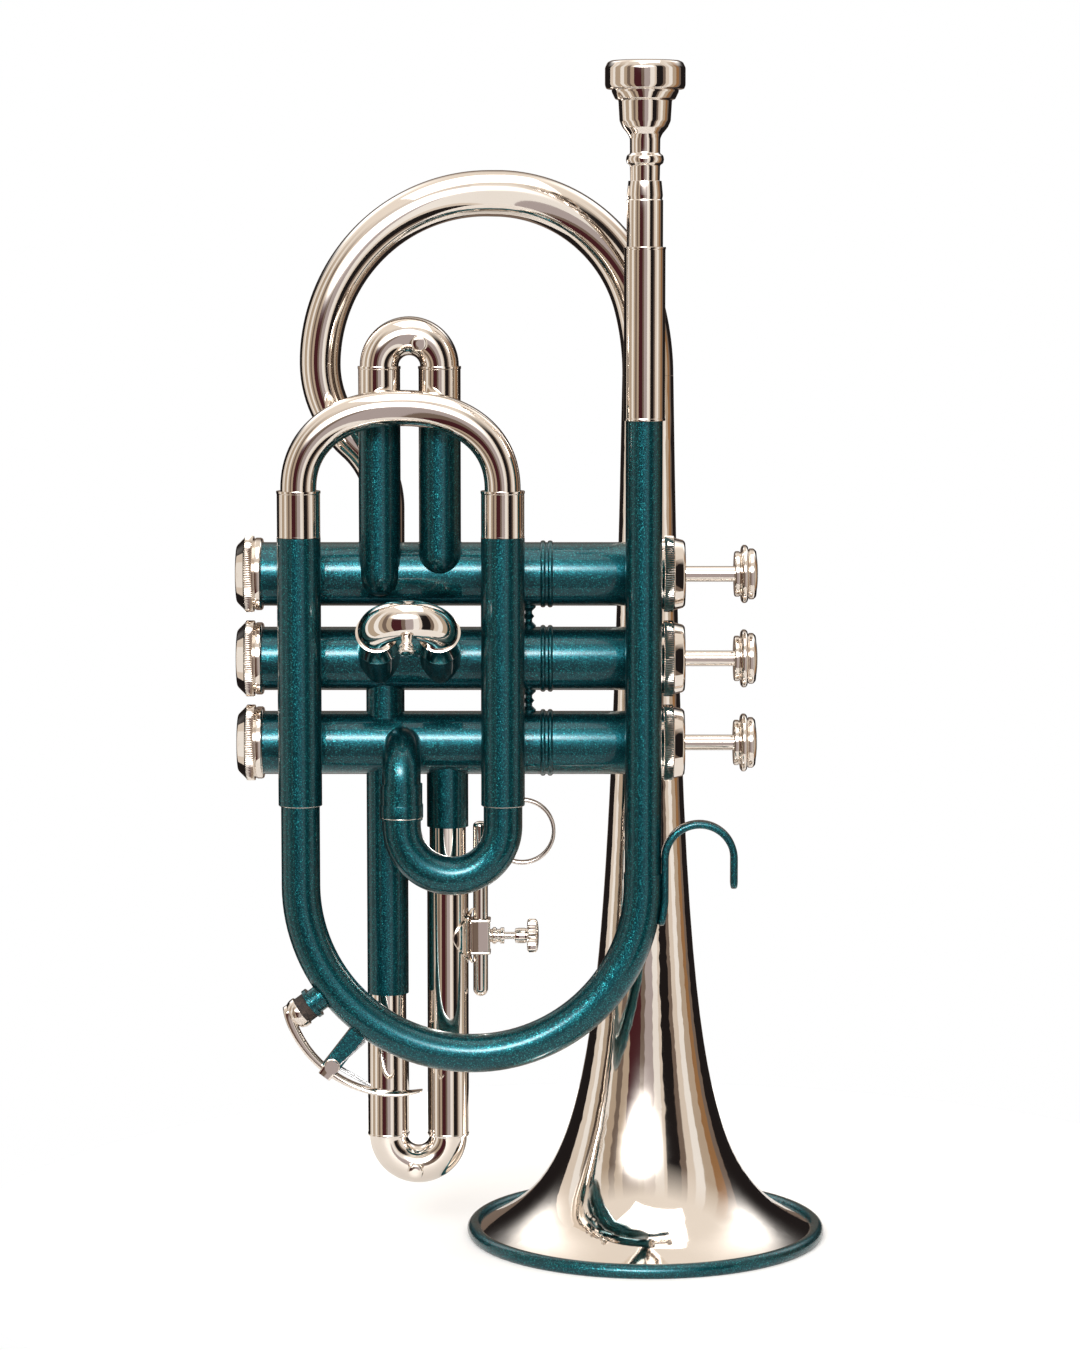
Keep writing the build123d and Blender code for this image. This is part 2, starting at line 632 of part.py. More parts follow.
def cap_felts():
    """Felt rings under the top caps, which quieten the pistons' return."""
    x = CASING_X[1]
    rings = []
    for z in VALVE_Z:
        rings.append(tube((x - FELT_THICK, VALVE_Y, z), (x, VALVE_Y, z), BORE_R - 0.3, STEM_R + 0.6))
    return Compound(rings)


def slide_bow(left, right, outward, knob_at, knob_along, knob_end):
    """U-bow between two legs, with its round pull knob as a second solid."""
    centre = (Vector(left) + Vector(right)) / 2
    normal = (Vector(left) - Vector(right)).cross(Vector(outward))
    bow = bend(centre, left, normal, 180, SLIDE_BOW_R, SLIDE_BOW_R - WALL)
    neck_r, head_r = KNOB_R
    start = Vector(knob_at)
    end = start + Vector(knob_along) * knob_end
    knob = rod(start, end, neck_r) + rod(end - Vector(knob_along) * KNOB_HEAD, end, head_r)
    return [bow, knob - solid_bend(centre, left, normal, 180, SLIDE_BOW_R)]


def first_outer_tubes():
    """Outer tubes with a bead near the foot; their closed toes follow the first casing."""
    tubes = []
    bore = SLIDE_INNER_R + RUNNING
    for x, z in zip(FIRST_X, FIRST_FOOT_Z):
        foot = (x, FIRST_Y, z)
        outer = tube(foot, (x, FIRST_Y, FIRST_TOP_Z), SLIDE_OUTER_R, bore)
        outer += Pos(x, FIRST_Y, z) * Sphere(SLIDE_OUTER_R) - rod(foot, (x, FIRST_Y, FIRST_TOP_Z), bore)
        bead = [(x, FIRST_Y, bead_z) for bead_z in FIRST_BEAD_Z]
        outer += tube(*bead, SLIDE_OUTER_R + 0.25, SLIDE_OUTER_R - 0.3)
        tubes.append(outer - casing_envelope(0))
    return Compound(tubes)


def first_inner_tubes():
    legs = []
    for x in FIRST_X:
        foot = (x, FIRST_Y, FIRST_LEG_FOOT_Z)
        stop = (x, FIRST_Y, FIRST_TOP_Z + SLIDE_GAP)
        top = (x, FIRST_Y, FIRST_BOW_Z)
        leg = tube(foot, top, SLIDE_INNER_R, SLIDE_INNER_R - WALL)
        legs.append(leg + tube(stop, top, SLIDE_OUTER_R, SLIDE_INNER_R - WALL))
    return Compound(legs)


def first_bow():
    left = (FIRST_X[0], FIRST_Y, FIRST_BOW_Z)
    right = (FIRST_X[1], FIRST_Y, FIRST_BOW_Z)
    knob = (sum(FIRST_X) / 2 + 3.6, FIRST_Y, FIRST_BOW_Z + 7.6)  # right of the apex
    return Compound(slide_bow(left, right, UP, knob, TO_FRONT, SLIDE_BOW_R + 2.0))


def second_direction():
    tilt = math.radians(SECOND_TILT)
    return Vector(0, -math.cos(tilt), math.sin(tilt))


def second_across():
    tilt = math.radians(SECOND_TILT)
    return Vector(0, math.sin(tilt), math.cos(tilt))


def second_point(x, distance):
    """Point on a second-slide tube's axis at a distance out from the valve."""
    middle = Vector(x, VALVE_Y, VALVE_Z[1]) + second_across() * SECOND_DROP
    return middle + second_direction() * distance


def second_outer_tubes():
    tubes = []
    for x in SECOND_X:
        root = second_point(x, 0)
        stub = tube(root, second_point(x, SECOND_STUB), SLIDE_OUTER_R, SLIDE_INNER_R + RUNNING)
        pieces = (stub - casing_envelope(1)).solids()
        tubes.append(pieces.sort_by(SortBy.VOLUME)[-1])
    return Compound(tubes)


def second_inner_tubes():
    legs = []
    inner = SLIDE_INNER_R - WALL
    for x in SECOND_X:
        top = second_point(x, SECOND_FERRULE)
        leg = tube(second_point(x, SECOND_LEG_FOOT), top, SLIDE_INNER_R, inner)
        stop = second_point(x, SECOND_STUB + SLIDE_GAP)
        legs.append(leg + tube(stop, top, SLIDE_OUTER_R, inner))
    return Compound(legs)


def second_bow():
    left = second_point(SECOND_X[0], SECOND_FERRULE)
    right = second_point(SECOND_X[1], SECOND_FERRULE)
    reach = SECOND_FERRULE + (SECOND_X[1] - SECOND_X[0]) / 2
    apex = second_point(sum(SECOND_X) / 2, reach)
    knob_end = SLIDE_BOW_R + 5.6
    return Compound(slide_bow(left, right, second_direction(), apex, -second_across(), knob_end))


def third_outer_tubes():
    tubes = []
    for x, low in zip(THIRD_X, THIRD_OUTER_Z):
        foot = (x, VALVE_Y, low)
        outer = tube(foot, (x, VALVE_Y, VALVE_Z[2]), SLIDE_OUTER_R, SLIDE_INNER_R + RUNNING)
        tubes.append(outer - casing_envelope(2))
    return Compound(tubes)


def third_inner_tubes():
    """Slide legs with the long wide sleeves below the outer tubes."""
    legs = []
    inner = SLIDE_INNER_R - WALL
    for x, low, engaged in zip(THIRD_X, THIRD_OUTER_Z, THIRD_ENGAGED):
        foot = (x, VALVE_Y, THIRD_BOW_Z)
        leg = tube(foot, (x, VALVE_Y, low + engaged), SLIDE_INNER_R, inner)
        legs.append(leg + tube(foot, (x, VALVE_Y, low - THIRD_GAP), SLIDE_OUTER_R, inner))
    return Compound(legs)


def third_bow():
    left = (THIRD_X[0], VALVE_Y, THIRD_BOW_Z)
    right = (THIRD_X[1], VALVE_Y, THIRD_BOW_Z)
    knob = (sum(THIRD_X) / 2 - 0.8, VALVE_Y, THIRD_BOW_Z - 10.6)
    return Compound(slide_bow(left, right, (0, 0, -1), knob, TO_FRONT, SLIDE_BOW_R + 4.4))


def ring_clamp():
    """Diamond saddle, box and screw boss on the third slide's right sleeve."""
    low, high = CLAMP_Z
    middle_z = (low + high) / 2
    sleeve_x = THIRD_X[1]
    half_width, half_height = DIAMOND
    sleeve = [(sleeve_x, VALVE_Y, low - half_height), (sleeve_x, VALVE_Y, high + half_height)]
    shell = tube(*sleeve, SLIDE_OUTER_R + SADDLE_SHELL, SLIDE_OUTER_R)
    corners = [(-half_width, 0), (0, -half_height), (half_width, 0), (0, half_height)]
    front = Plane(origin=(sleeve_x, VALVE_Y, middle_z), x_dir=TO_BACK, z_dir=TO_BUTTONS)
    clamp = shell & (front * extrude(make_face(Polyline(corners, close=True)), 2 * SLIDE_OUTER_R))
    clamp += Pos(RING_ROD_X, VALVE_Y, middle_z) * Box(2 * CLAMP_HALF, 7.0, high - low)
    neck = RING_ROD_X - CLAMP_HALF + 0.2 - sleeve_x - 6.6
    neck_x = RING_ROD_X - CLAMP_HALF + 0.2 - neck / 2
    clamp += Pos(neck_x, VALVE_Y, middle_z) * Box(neck, 4.0, 10.0)
    clamp -= rod(*sleeve, SLIDE_OUTER_R)
    boss_end = (SCREW_X[0], VALVE_Y, middle_z)
    clamp += rod((RING_ROD_X + CLAMP_HALF - 0.2, VALVE_Y, middle_z), boss_end, BOSS_R)
    ring_rod = [(RING_ROD_X, VALVE_Y, low - 1), (RING_ROD_X, VALVE_Y, high + 1)]
    clamp -= rod(*ring_rod, RING_ROD_R + RUNNING)
    return clamp - rod((RING_ROD_X, VALVE_Y, middle_z), boss_end, SCREW_R + RUNNING)


def clamp_screw():
    start = RING_ROD_X + RING_ROD_R + 0.1
    end = SCREW_X[1]
    outline = [
        (start, 0), (start, SCREW_R), (end - 8.1, SCREW_R), (end - 8.0, 2.5), (end - 4.0, 2.5),
        (end - 3.9, 5.2), (end - 3.4, 5.65), (end - 0.9, 5.65), (end, 4.2), (end, 0),
    ]
    return turned(outline, (0, VALVE_Y, sum(CLAMP_Z) / 2), TO_BUTTONS)


def finger_ring():
    """Ring on the rod that the clamp holds."""
    x, y, z = RING_CENTRE
    outer, inner = RING_R
    front = (x, y - RING_WIDTH / 2, z)
    back = (x, y + RING_WIDTH / 2, z)
    low, high = RING_ROD_Z
    bar = rod((RING_ROD_X, VALVE_Y, low), (RING_ROD_X, VALVE_Y, high), RING_ROD_R)
    bar += Pos(RING_ROD_X, VALVE_Y, low) * Sphere(RING_ROD_R)
    bar += Pos(RING_ROD_X + 2.2, VALVE_Y, z) * Box(2.4, 2.4, 4.0)
    return tube(front, back, outer, inner) + (bar - rod(front, back, inner))


def key_point(angle, reach):
    """Point beside the main bow, angle below the horizontal on its left."""
    a = math.radians(angle)
    return Vector((LEFT_LEG_X + LEAD_X) / 2 - reach * math.cos(a), FRONT_Y, BOW_Z - reach * math.sin(a))


def key_plane(angle, reach):
    outward = key_point(angle, 1) - key_point(angle, 0)
    return Plane(origin=key_point(angle, reach), x_dir=(0, 1, 0), z_dir=outward)


def bow_envelope():
    """The solid that the main bow's outside fills."""
    centre = ((LEFT_LEG_X + LEAD_X) / 2, FRONT_Y, BOW_Z)
    return solid_bend(centre, (LEAD_X, FRONT_Y, BOW_Z), TO_BACK, 180, BOW_TUBE_R)


def water_key_seat():
    """Drain nipple and hinge post, both brazed to the main bow."""
    top = key_point(KEY_SEAT_ANGLE, KEY_SEAT_REACH)
    neck_r, flange_r = KEY_NIPPLE_R
    nipple = tube(key_point(KEY_SEAT_ANGLE, BOW_R), top, neck_r, KEY_DRAIN_R)
    nipple += tube(key_point(KEY_SEAT_ANGLE, KEY_SEAT_REACH - KEY_FLANGE), top, flange_r, KEY_DRAIN_R)
    post = Box(*KEY_POST, align=(Align.CENTER, Align.CENTER, Align.MIN))
    post = key_plane(KEY_PIVOT_ANGLE, BOW_R) * post
    pivot = key_point(KEY_PIVOT_ANGLE, KEY_PIVOT_REACH)
    post -= rod(pivot - Vector(0, 9, 0), pivot + Vector(0, 9, 0), KEY_PIN_R)
    envelope = bow_envelope()
    return Compound([nipple - envelope, post - envelope])


def water_key_lever():
    """Curved arm with the cork's cup at one end, a touch piece at the other and two ears."""
    angles = (KEY_SEAT_ANGLE, KEY_CREST_ANGLE, KEY_TIP_ANGLE)
    outer = ThreePointArc(*[key_point(a, r) for a, r in zip(angles, KEY_ARM_REACH)])
    inner = ThreePointArc(*[key_point(a, r) for a, r in zip(angles, KEY_ARM_INNER)])
    band = make_face([outer, Line(outer @ 1, inner @ 1), inner, Line(inner @ 0, outer @ 0)])
    arm = Pos(0, KEY_ARM_HALF, 0) * extrude(band, 2 * KEY_ARM_HALF, dir=TO_FRONT)
    pivot = key_point(KEY_PIVOT_ANGLE, KEY_PIVOT_REACH)
    near, far = EAR_Y
    for side in (-1, 1):
        arm += rod(pivot + Vector(0, side * near, 0), pivot + Vector(0, side * far, 0), EAR_R)
        web = Pos(side * (near + far) / 2, 0, 2.2) * Box(far - near, 2 * EAR_R, 4.4)
        arm += key_plane(KEY_PIVOT_ANGLE, KEY_PIVOT_REACH) * web
    cork_top = key_point(KEY_SEAT_ANGLE, CORK_REACH[1])
    cup_foot = key_point(KEY_SEAT_ANGLE, CORK_REACH[1] - 1.5)
    arm += rod(cup_foot, key_point(KEY_SEAT_ANGLE, KEY_ARM_INNER[0] + 1.2), CUP_R)
    arm -= rod(key_point(KEY_SEAT_ANGLE, BOW_R), cork_top, CORK_R)
    return arm - rod(pivot - Vector(0, 9, 0), pivot + Vector(0, 9, 0), KEY_PIN_R + RUNNING)


def water_key_cork():
    low, high = CORK_REACH
    return rod(key_point(KEY_SEAT_ANGLE, low), key_point(KEY_SEAT_ANGLE, high), CORK_R)


def water_key_pin():
    """Hinge screw with a slotted head."""
    pivot = key_point(KEY_PIVOT_ANGLE, KEY_PIVOT_REACH)
    face = pivot - Vector(0, 6.0, 0)
    pin = rod(pivot - Vector(0, 4.6, 0), pivot + Vector(0, 5.2, 0), KEY_PIN_R)
    head = rod(face, pivot - Vector(0, 4.4, 0), KEY_PIN_HEAD_R)
    slot = Plane(origin=face, z_dir=TO_BACK) * Box(6.0, 0.6, 1.0)
    return pin + head - slot


def water_key_spring():
    """Wire that rests on the bow and pushes under the touch end of the arm."""
    beside = Vector(0, KEY_SPRING_Y, 0)
    foot = key_point(KEY_PIVOT_ANGLE + 9, 63.9) + beside
    knee = key_point(KEY_PIVOT_ANGLE + 6.5, 71.0) + beside
    tip = key_point(KEY_PIVOT_ANGLE + 14, 75.0) + beside
    wire = rod(foot, knee, KEY_SPRING_R) + rod(knee, tip, KEY_SPRING_R)
    return wire + Pos(*knee) * Sphere(KEY_SPRING_R)


def finger_hook():
    """Strip soldered to the mouthpiece pipe and arched over for the little finger."""
    right_x = HOOK_X + 2 * HOOK_ARCH_R
    centre = (HOOK_X + HOOK_ARCH_R, FRONT_Y, HOOK_ARCH_Z)
    foot_z = (HOOK_FOOT_Z + HOOK_ARCH_Z) / 2
    strip = Pos(HOOK_X, FRONT_Y, foot_z) * Box(HOOK_THICK, HOOK_WIDTH, HOOK_ARCH_Z - HOOK_FOOT_Z)
    section = Plane(origin=(HOOK_X, FRONT_Y, HOOK_ARCH_Z), z_dir=UP) * Rectangle(HOOK_THICK, HOOK_WIDTH)
    strip += revolve(section, Axis(centre, TO_BACK), 180)
    tip_z = (HOOK_ARCH_Z + HOOK_TIP_Z) / 2
    strip += Pos(right_x, FRONT_Y, tip_z) * Box(HOOK_THICK, HOOK_WIDTH, HOOK_ARCH_Z - HOOK_TIP_Z)
    pipe_foot = (LEAD_X, FRONT_Y, BOW_Z)
    strip -= rod(pipe_foot, (LEAD_X, FRONT_Y, HOOK_ARCH_Z + HOOK_REACH), LEAD_R)
    strip -= rod(pipe_foot, (LEAD_X, FRONT_Y, BOW_Z + BOW_STRAIGHT), BOW_TUBE_R)
    return strip - bow_envelope()


def build():
    flare = bell()
    models = {
        "bell": flare,
        "bell_rim": bell_rim(flare),
        "bell_crook": bell_crook(),
        "mouthpiece": mouthpiece(),
        "mouthpiece_receiver": mouthpiece_receiver(),
        "leadpipe_sleeve": leadpipe_sleeve(),
        "leadpipe": leadpipe(),
        "main_bow": main_bow(),
        "tuning_outer_tubes": tuning_outer_tubes(),
        "tuning_inner_tubes": tuning_inner_tubes(),
        "tuning_bow": tuning_bow(),
        "inlet_bow": inlet_bow(),
        "inlet_elbow": inlet_elbow(),
        "knuckles": knuckles(),
        "casing_braces": casing_braces(),
        "tube_saddles": tube_saddles(),
        "valve_guides": valve_guides(),
        "cap_felts": cap_felts(),
        "first_outer_tubes": first_outer_tubes(),
        "first_inner_tubes": first_inner_tubes(),
        "first_bow": first_bow(),
        "second_outer_tubes": second_outer_tubes(),
        "second_inner_tubes": second_inner_tubes(),
        "second_bow": second_bow(),
        "third_outer_tubes": third_outer_tubes(),
        "third_inner_tubes": third_inner_tubes(),
        "third_bow": third_bow(),
        "ring_clamp": ring_clamp(),
        "clamp_screw": clamp_screw(),
        "finger_ring": finger_ring(),
        "water_key_seat": water_key_seat(),
        "water_key_lever": water_key_lever(),
        "water_key_cork": water_key_cork(),
        "water_key_pin": water_key_pin(),
        "water_key_spring": water_key_spring(),
        "finger_hook": finger_hook(),
    }
    per_valve = {
        "valve_casing": valve_casing,
        "piston": piston,
        "stem": stem,
        "button": button,
        "button_pearl": button_pearl,
        "top_cap": top_cap,
        "bottom_cap": bottom_cap,
        "valve_spring": valve_spring,
    }
    for name, make in per_valve.items():
        for valve in range(len(VALVE_Z)):
            models[f"{name}_{valve + 1}"] = make(valve)
    return models


if __name__ == "__main__":
    os.makedirs("parts", exist_ok=True)
    for name, model in build().items():
        export_step(model, f"parts/{name}.step")
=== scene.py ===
import json
import math

import bmesh
import bpy
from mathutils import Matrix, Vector


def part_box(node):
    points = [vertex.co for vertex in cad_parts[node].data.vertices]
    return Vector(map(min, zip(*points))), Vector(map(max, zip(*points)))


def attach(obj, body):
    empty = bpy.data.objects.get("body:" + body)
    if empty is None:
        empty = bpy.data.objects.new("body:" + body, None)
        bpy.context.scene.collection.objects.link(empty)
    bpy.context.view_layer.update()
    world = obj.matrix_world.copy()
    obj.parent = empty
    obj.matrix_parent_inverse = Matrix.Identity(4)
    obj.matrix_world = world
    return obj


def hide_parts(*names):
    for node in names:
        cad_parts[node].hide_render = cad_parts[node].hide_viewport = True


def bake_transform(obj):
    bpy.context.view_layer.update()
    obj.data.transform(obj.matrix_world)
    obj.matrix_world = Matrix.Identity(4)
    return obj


MM = 0.001

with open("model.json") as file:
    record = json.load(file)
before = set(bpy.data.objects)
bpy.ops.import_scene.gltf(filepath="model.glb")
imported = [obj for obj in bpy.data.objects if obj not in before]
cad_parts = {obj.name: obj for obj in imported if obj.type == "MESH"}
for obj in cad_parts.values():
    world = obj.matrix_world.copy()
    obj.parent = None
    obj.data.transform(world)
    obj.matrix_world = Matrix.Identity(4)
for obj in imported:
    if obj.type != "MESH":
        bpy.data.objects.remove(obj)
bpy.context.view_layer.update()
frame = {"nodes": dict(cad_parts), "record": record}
scene = bpy.context.scene
nodes = frame["nodes"]


# Node helpers

class Graph:
    """A material's or world's node tree, with short calls to add and join nodes."""

    def __init__(self, tree):
        self.tree = tree
        tree.nodes.clear()

    def add(self, kind, inputs=None, **settings):
        node = self.tree.nodes.new(kind)
        for key, value in settings.items():
            setattr(node, key, value)
        for key, value in (inputs or {}).items():
            self.put(node.inputs[key], value)
        return node

    def put(self, socket, value):
        if isinstance(value, bpy.types.NodeSocket):
            self.tree.links.new(value, socket)
        else:
            socket.default_value = value

    def math(self, operation, a, b=0.0, c=0.0, clamp=False):
        node = self.add("ShaderNodeMath", {0: a, 1: b, 2: c}, operation=operation, use_clamp=clamp)
        return node.outputs[0]

    def ramp(self, factor, stops, interpolation="LINEAR"):
        node = self.add("ShaderNodeValToRGB", {"Fac": factor})
        ramp = node.color_ramp
        ramp.interpolation = interpolation
        while len(ramp.elements) < len(stops):
            ramp.elements.new(1.0)
        for element, (place, colour) in zip(ramp.elements, stops):
            element.position = place
            element.color = (*colour, 1.0)
        return node.outputs["Color"]

    def noise(self, place, scale, detail=3.0, roughness=0.5):
        inputs = {"Vector": place, "Scale": scale, "Detail": detail, "Roughness": roughness}
        return self.add("ShaderNodeTexNoise", inputs).outputs["Fac"]

    def spread(self, value, low, high, first, last):
        """value from low..high moved to first..last."""
        ends = {"Value": value, "From Min": low, "From Max": high, "To Min": first, "To Max": last}
        return self.add("ShaderNodeMapRange", ends, clamp=True).outputs["Result"]

    def far_from(self, value, centre, width):
        """Square of value's distance from centre, counted in widths."""
        return self.math("POWER", self.math("DIVIDE", self.math("SUBTRACT", value, centre), width), 2.0)

    def glow(self, angle, height, centre_angle, centre_height, width, depth):
        """A soft spot that fades as a bell curve about a direction."""
        side = self.far_from(angle, centre_angle, width)
        rise = self.far_from(height, centre_height, depth)
        fall = self.math("MULTIPLY", self.math("ADD", side, rise), -1.0)
        return self.math("EXPONENT", fall)

    def place(self, scale=(1, 1, 1)):
        coordinates = self.add("ShaderNodeTexCoord").outputs["Object"]
        return self.add("ShaderNodeMapping", {"Vector": coordinates, "Scale": scale}).outputs["Vector"]


def material(name, **uniform):
    """A material with a Principled shader, and its graph. Uniform values go straight on the shader."""
    made = bpy.data.materials.new(name)
    made.use_nodes = True
    graph = Graph(made.node_tree)
    shader = graph.add("ShaderNodeBsdfPrincipled")
    for key, value in uniform.items():
        shader.inputs[key.replace("_", " ")].default_value = value
    output = graph.add("ShaderNodeOutputMaterial")
    graph.put(output.inputs["Surface"], shader.outputs["BSDF"])
    return made, graph, shader


def bump(graph, shader, height, strength, distance):
    """Gives the shader's normal a relief; distance is in metres."""
    node = graph.add("ShaderNodeBump", {"Height": height, "Strength": strength, "Distance": distance})
    graph.put(shader.inputs["Normal"], node.outputs["Normal"])


# Materials

FLAKES_PER_METRE, FLAKE_LEAN = 4300.0, 0.22
FLOOR_RADIUS, FLOOR_DIM_RADIUS, FLOOR_WHITE_RADIUS = 0.24, 0.07, 0.17


def nickel_plate():
    """Polished plate: warm, nearly mirror smooth, with faint smudges and ripples."""
    made, g, shader = material("nickel_plate", Metallic=1.0)
    tone = g.noise(g.place(), 18.0, 4.0)
    g.put(shader.inputs["Base Color"], g.ramp(tone, [(0.3, (0.77, 0.70, 0.63)), (0.7, (0.86, 0.80, 0.74))]))
    smudge = g.noise(g.place((1, 1, 0.35)), 55.0, 5.0, 0.6)
    haze = g.spread(smudge, 0.35, 0.75, 0.03, 0.085)
    g.put(shader.inputs["Roughness"], haze)
    ripple = g.noise(g.place(), 60.0, 2.0)
    bump(g, shader, ripple, 0.05, 0.0004)
    return made


def teal_lacquer():
    """Clear coat over fine metal flakes, each tilted its own way. The flakes' colour differs at random, and
    the brightest flakes get a bright teal that is painted sparkle.
    """
    made, g, shader = material(
        "teal_lacquer", Metallic=0.9, Coat_Weight=1.0, Coat_Roughness=0.04, Coat_IOR=1.32,
    )
    cells = {"Vector": g.place(), "Scale": FLAKES_PER_METRE}
    flake = g.add("ShaderNodeTexVoronoi", cells).outputs["Color"]
    grain = g.add("ShaderNodeSeparateColor", {"Color": flake})
    # Flake colour: a dark teal that differs at random from flake to flake, and on the few brightest flakes a
    # bright teal that is painted sparkle.
    flake_tone_and_painted_sparkle = g.math("POWER", grain.outputs["Red"], 5.0)
    tones = [(0.0, (0.002, 0.046, 0.060)), (0.4, (0.005, 0.086, 0.104)), (1.0, (0.02, 0.29, 0.31))]
    g.put(shader.inputs["Base Color"], g.ramp(flake_tone_and_painted_sparkle, tones))
    g.put(shader.inputs["Roughness"], g.spread(grain.outputs["Green"], 0.0, 1.0, 0.30, 0.42))
    tilt = g.add("ShaderNodeVectorMath", {0: flake, 1: (0.5, 0.5, 0.5)}, operation="SUBTRACT").outputs[0]
    lean = g.add("ShaderNodeVectorMath", {0: tilt, "Scale": FLAKE_LEAN}, operation="SCALE").outputs[0]
    normal = g.add("ShaderNodeNewGeometry").outputs["Normal"]
    leant = g.add("ShaderNodeVectorMath", {0: normal, 1: lean}, operation="ADD").outputs[0]
    unit = g.add("ShaderNodeVectorMath", {0: leant}, operation="NORMALIZE").outputs[0]
    g.put(shader.inputs["Normal"], unit)
    return made


def brushed_metal(name, low, high, roughness, stretch):
    """Bare metal with fine streaks between two tones."""
    made, g, shader = material(name, Metallic=1.0)
    streak = g.noise(g.place(stretch), 900.0, 4.0, 0.6)
    g.put(shader.inputs["Base Color"], g.ramp(streak, [(0.3, low), (0.7, high)]))
    g.put(shader.inputs["Roughness"], g.spread(streak, 0.0, 1.0, roughness - 0.06, roughness + 0.08))
    bump(g, shader, streak, 0.12, 0.00005)
    return made


def wool_felt():
    made, g, shader = material("wool_felt", Roughness=0.95, Sheen_Weight=0.5)
    fibre = g.noise(g.place(), 2600.0, 6.0, 0.7)
    tones = [(0.3, (0.010, 0.010, 0.012)), (0.75, (0.05, 0.05, 0.055))]
    g.put(shader.inputs["Base Color"], g.ramp(fibre, tones))
    bump(g, shader, fibre, 0.8, 0.0003)
    return made


def dark_cork():
    made, g, shader = material("dark_cork", Roughness=0.8)
    place = g.place()
    cell = g.add("ShaderNodeTexVoronoi", {"Vector": place, "Scale": 900.0}).outputs["Color"]
    grain = g.add("ShaderNodeSeparateColor", {"Color": cell}).outputs["Red"]
    tones = [(0.0, (0.010, 0.008, 0.007)), (1.0, (0.040, 0.027, 0.020))]
    g.put(shader.inputs["Base Color"], g.ramp(grain, tones))
    bump(g, shader, g.noise(place, 1500.0, 5.0), 0.6, 0.0003)
    return made


def pearl_inlay():
    made, g, shader = material("pearl_inlay", Roughness=0.12, Coat_Weight=0.6, Coat_Roughness=0.05)
    inputs = {"Vector": g.place(), "Scale": 240.0, "Detail": 4.0, "Distortion": 2.5}
    swirl = g.add("ShaderNodeTexNoise", inputs).outputs["Fac"]
    tones = [
        (0.25, (0.70, 0.66, 0.64)), (0.45, (0.86, 0.85, 0.80)),
        (0.6, (0.74, 0.78, 0.80)), (0.8, (0.90, 0.84, 0.82)),
    ]
    g.put(shader.inputs["Base Color"], g.ramp(swirl, tones))
    bump(g, shader, swirl, 0.05, 0.0002)
    return made


def pale_floor():
    """Matt white that brightens away from the object into the white surroundings. Only the camera
    sees the glow, so the metal mirrors the floor without it."""
    made, g, shader = material(
        "pale_floor", Roughness=0.6, Specular_IOR_Level=0.2, Emission_Color=(1, 1, 1, 1),
    )
    place = g.place()
    tone = g.noise(place, 6.0, 3.0)
    g.put(shader.inputs["Base Color"], g.ramp(tone, [(0.3, (0.66, 0.655, 0.65)), (0.7, (0.68, 0.675, 0.67))]))
    reach = g.add("ShaderNodeVectorMath", {0: place}, operation="LENGTH").outputs["Value"]
    seen = g.add("ShaderNodeLightPath").outputs["Is Camera Ray"]
    strength = g.spread(reach, FLOOR_DIM_RADIUS, FLOOR_WHITE_RADIUS, 0.25, 0.55)
    g.put(shader.inputs["Emission Strength"], g.math("MULTIPLY", seen, strength))
    return made


FINISHES = {
    "nickel": nickel_plate(),
    "lacquer": teal_lacquer(),
    "piston_metal": brushed_metal("lapped_metal", (0.50, 0.49, 0.46), (0.68, 0.67, 0.64), 0.28, (0.02, 1, 1)),
    "spring_steel": brushed_metal("spring_wire", (0.40, 0.41, 0.43), (0.62, 0.63, 0.65), 0.25, (1, 1, 1)),
    "guide_brass": brushed_metal("machined_brass", (0.55, 0.40, 0.16), (0.78, 0.60, 0.28), 0.3, (1, 0.05, 1)),
    "felt": wool_felt(),
    "cork": dark_cork(),
    "pearl": pearl_inlay(),
}
slots = {entry["node"]: entry["material_slot"] for entry in frame["record"]["subparts"]}
for name, node in nodes.items():
    for slot in node.material_slots:
        slot.material = FINISHES[slots[name]]


# Mesh helpers

CORNER_SHARE = 0.42  # of an edge's length, at most, that a rounded corner takes


def soften(outline, radius, steps=3):
    """Rounds the corners of a closed outline of (along, radius) points, in mm."""
    rounded = []
    count = len(outline)
    for i, corner in enumerate(outline):
        here = Vector(corner)
        before = Vector(outline[i - 1]) - here
        after = Vector(outline[(i + 1) % count]) - here
        if here.y < 1e-6 or before.length < 1e-6 or after.length < 1e-6:
            rounded.append(tuple(here))
            continue
        cut = min(radius, CORNER_SHARE * before.length, CORNER_SHARE * after.length)
        start = here + before.normalized() * cut
        end = here + after.normalized() * cut
        for k in range(steps + 1):
            t = k / steps
            rounded.append(tuple(start * (1 - t) ** 2 + here * 2 * t * (1 - t) + end * t ** 2))
    return rounded


def add_piece(name, vertices, faces, body, slot, stands_for=(), crease=32):
    """Makes an object of vertices in mm. It rides on body, or on nothing yet where body is None."""
    mesh = bpy.data.meshes.new(name)
    mesh.from_pydata([tuple(Vector(v) * MM) for v in vertices], [], faces)
    whole = bmesh.new()
    whole.from_mesh(mesh)
    bmesh.ops.recalc_face_normals(whole, faces=whole.faces)
    whole.to_mesh(mesh)
    whole.free()
    mesh.polygons.foreach_set("use_smooth", [True] * len(mesh.polygons))
    mesh.set_sharp_from_angle(angle=math.radians(crease))
    mesh.materials.append(FINISHES[slot])
    piece = bpy.data.objects.new(name, mesh)
    scene.collection.objects.link(piece)
    if stands_for:
        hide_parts(*stands_for)
    if body:
        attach(piece, body)
    return piece


def frame_along(direction):
    """Two unit vectors across a direction."""
    along = Vector(direction).normalized()
    hint = Vector((0, 1, 0)) if abs(along.y) < 0.9 else Vector((1, 0, 0))
    across = along.cross(hint).normalized()
    return across, along.cross(across).normalized()


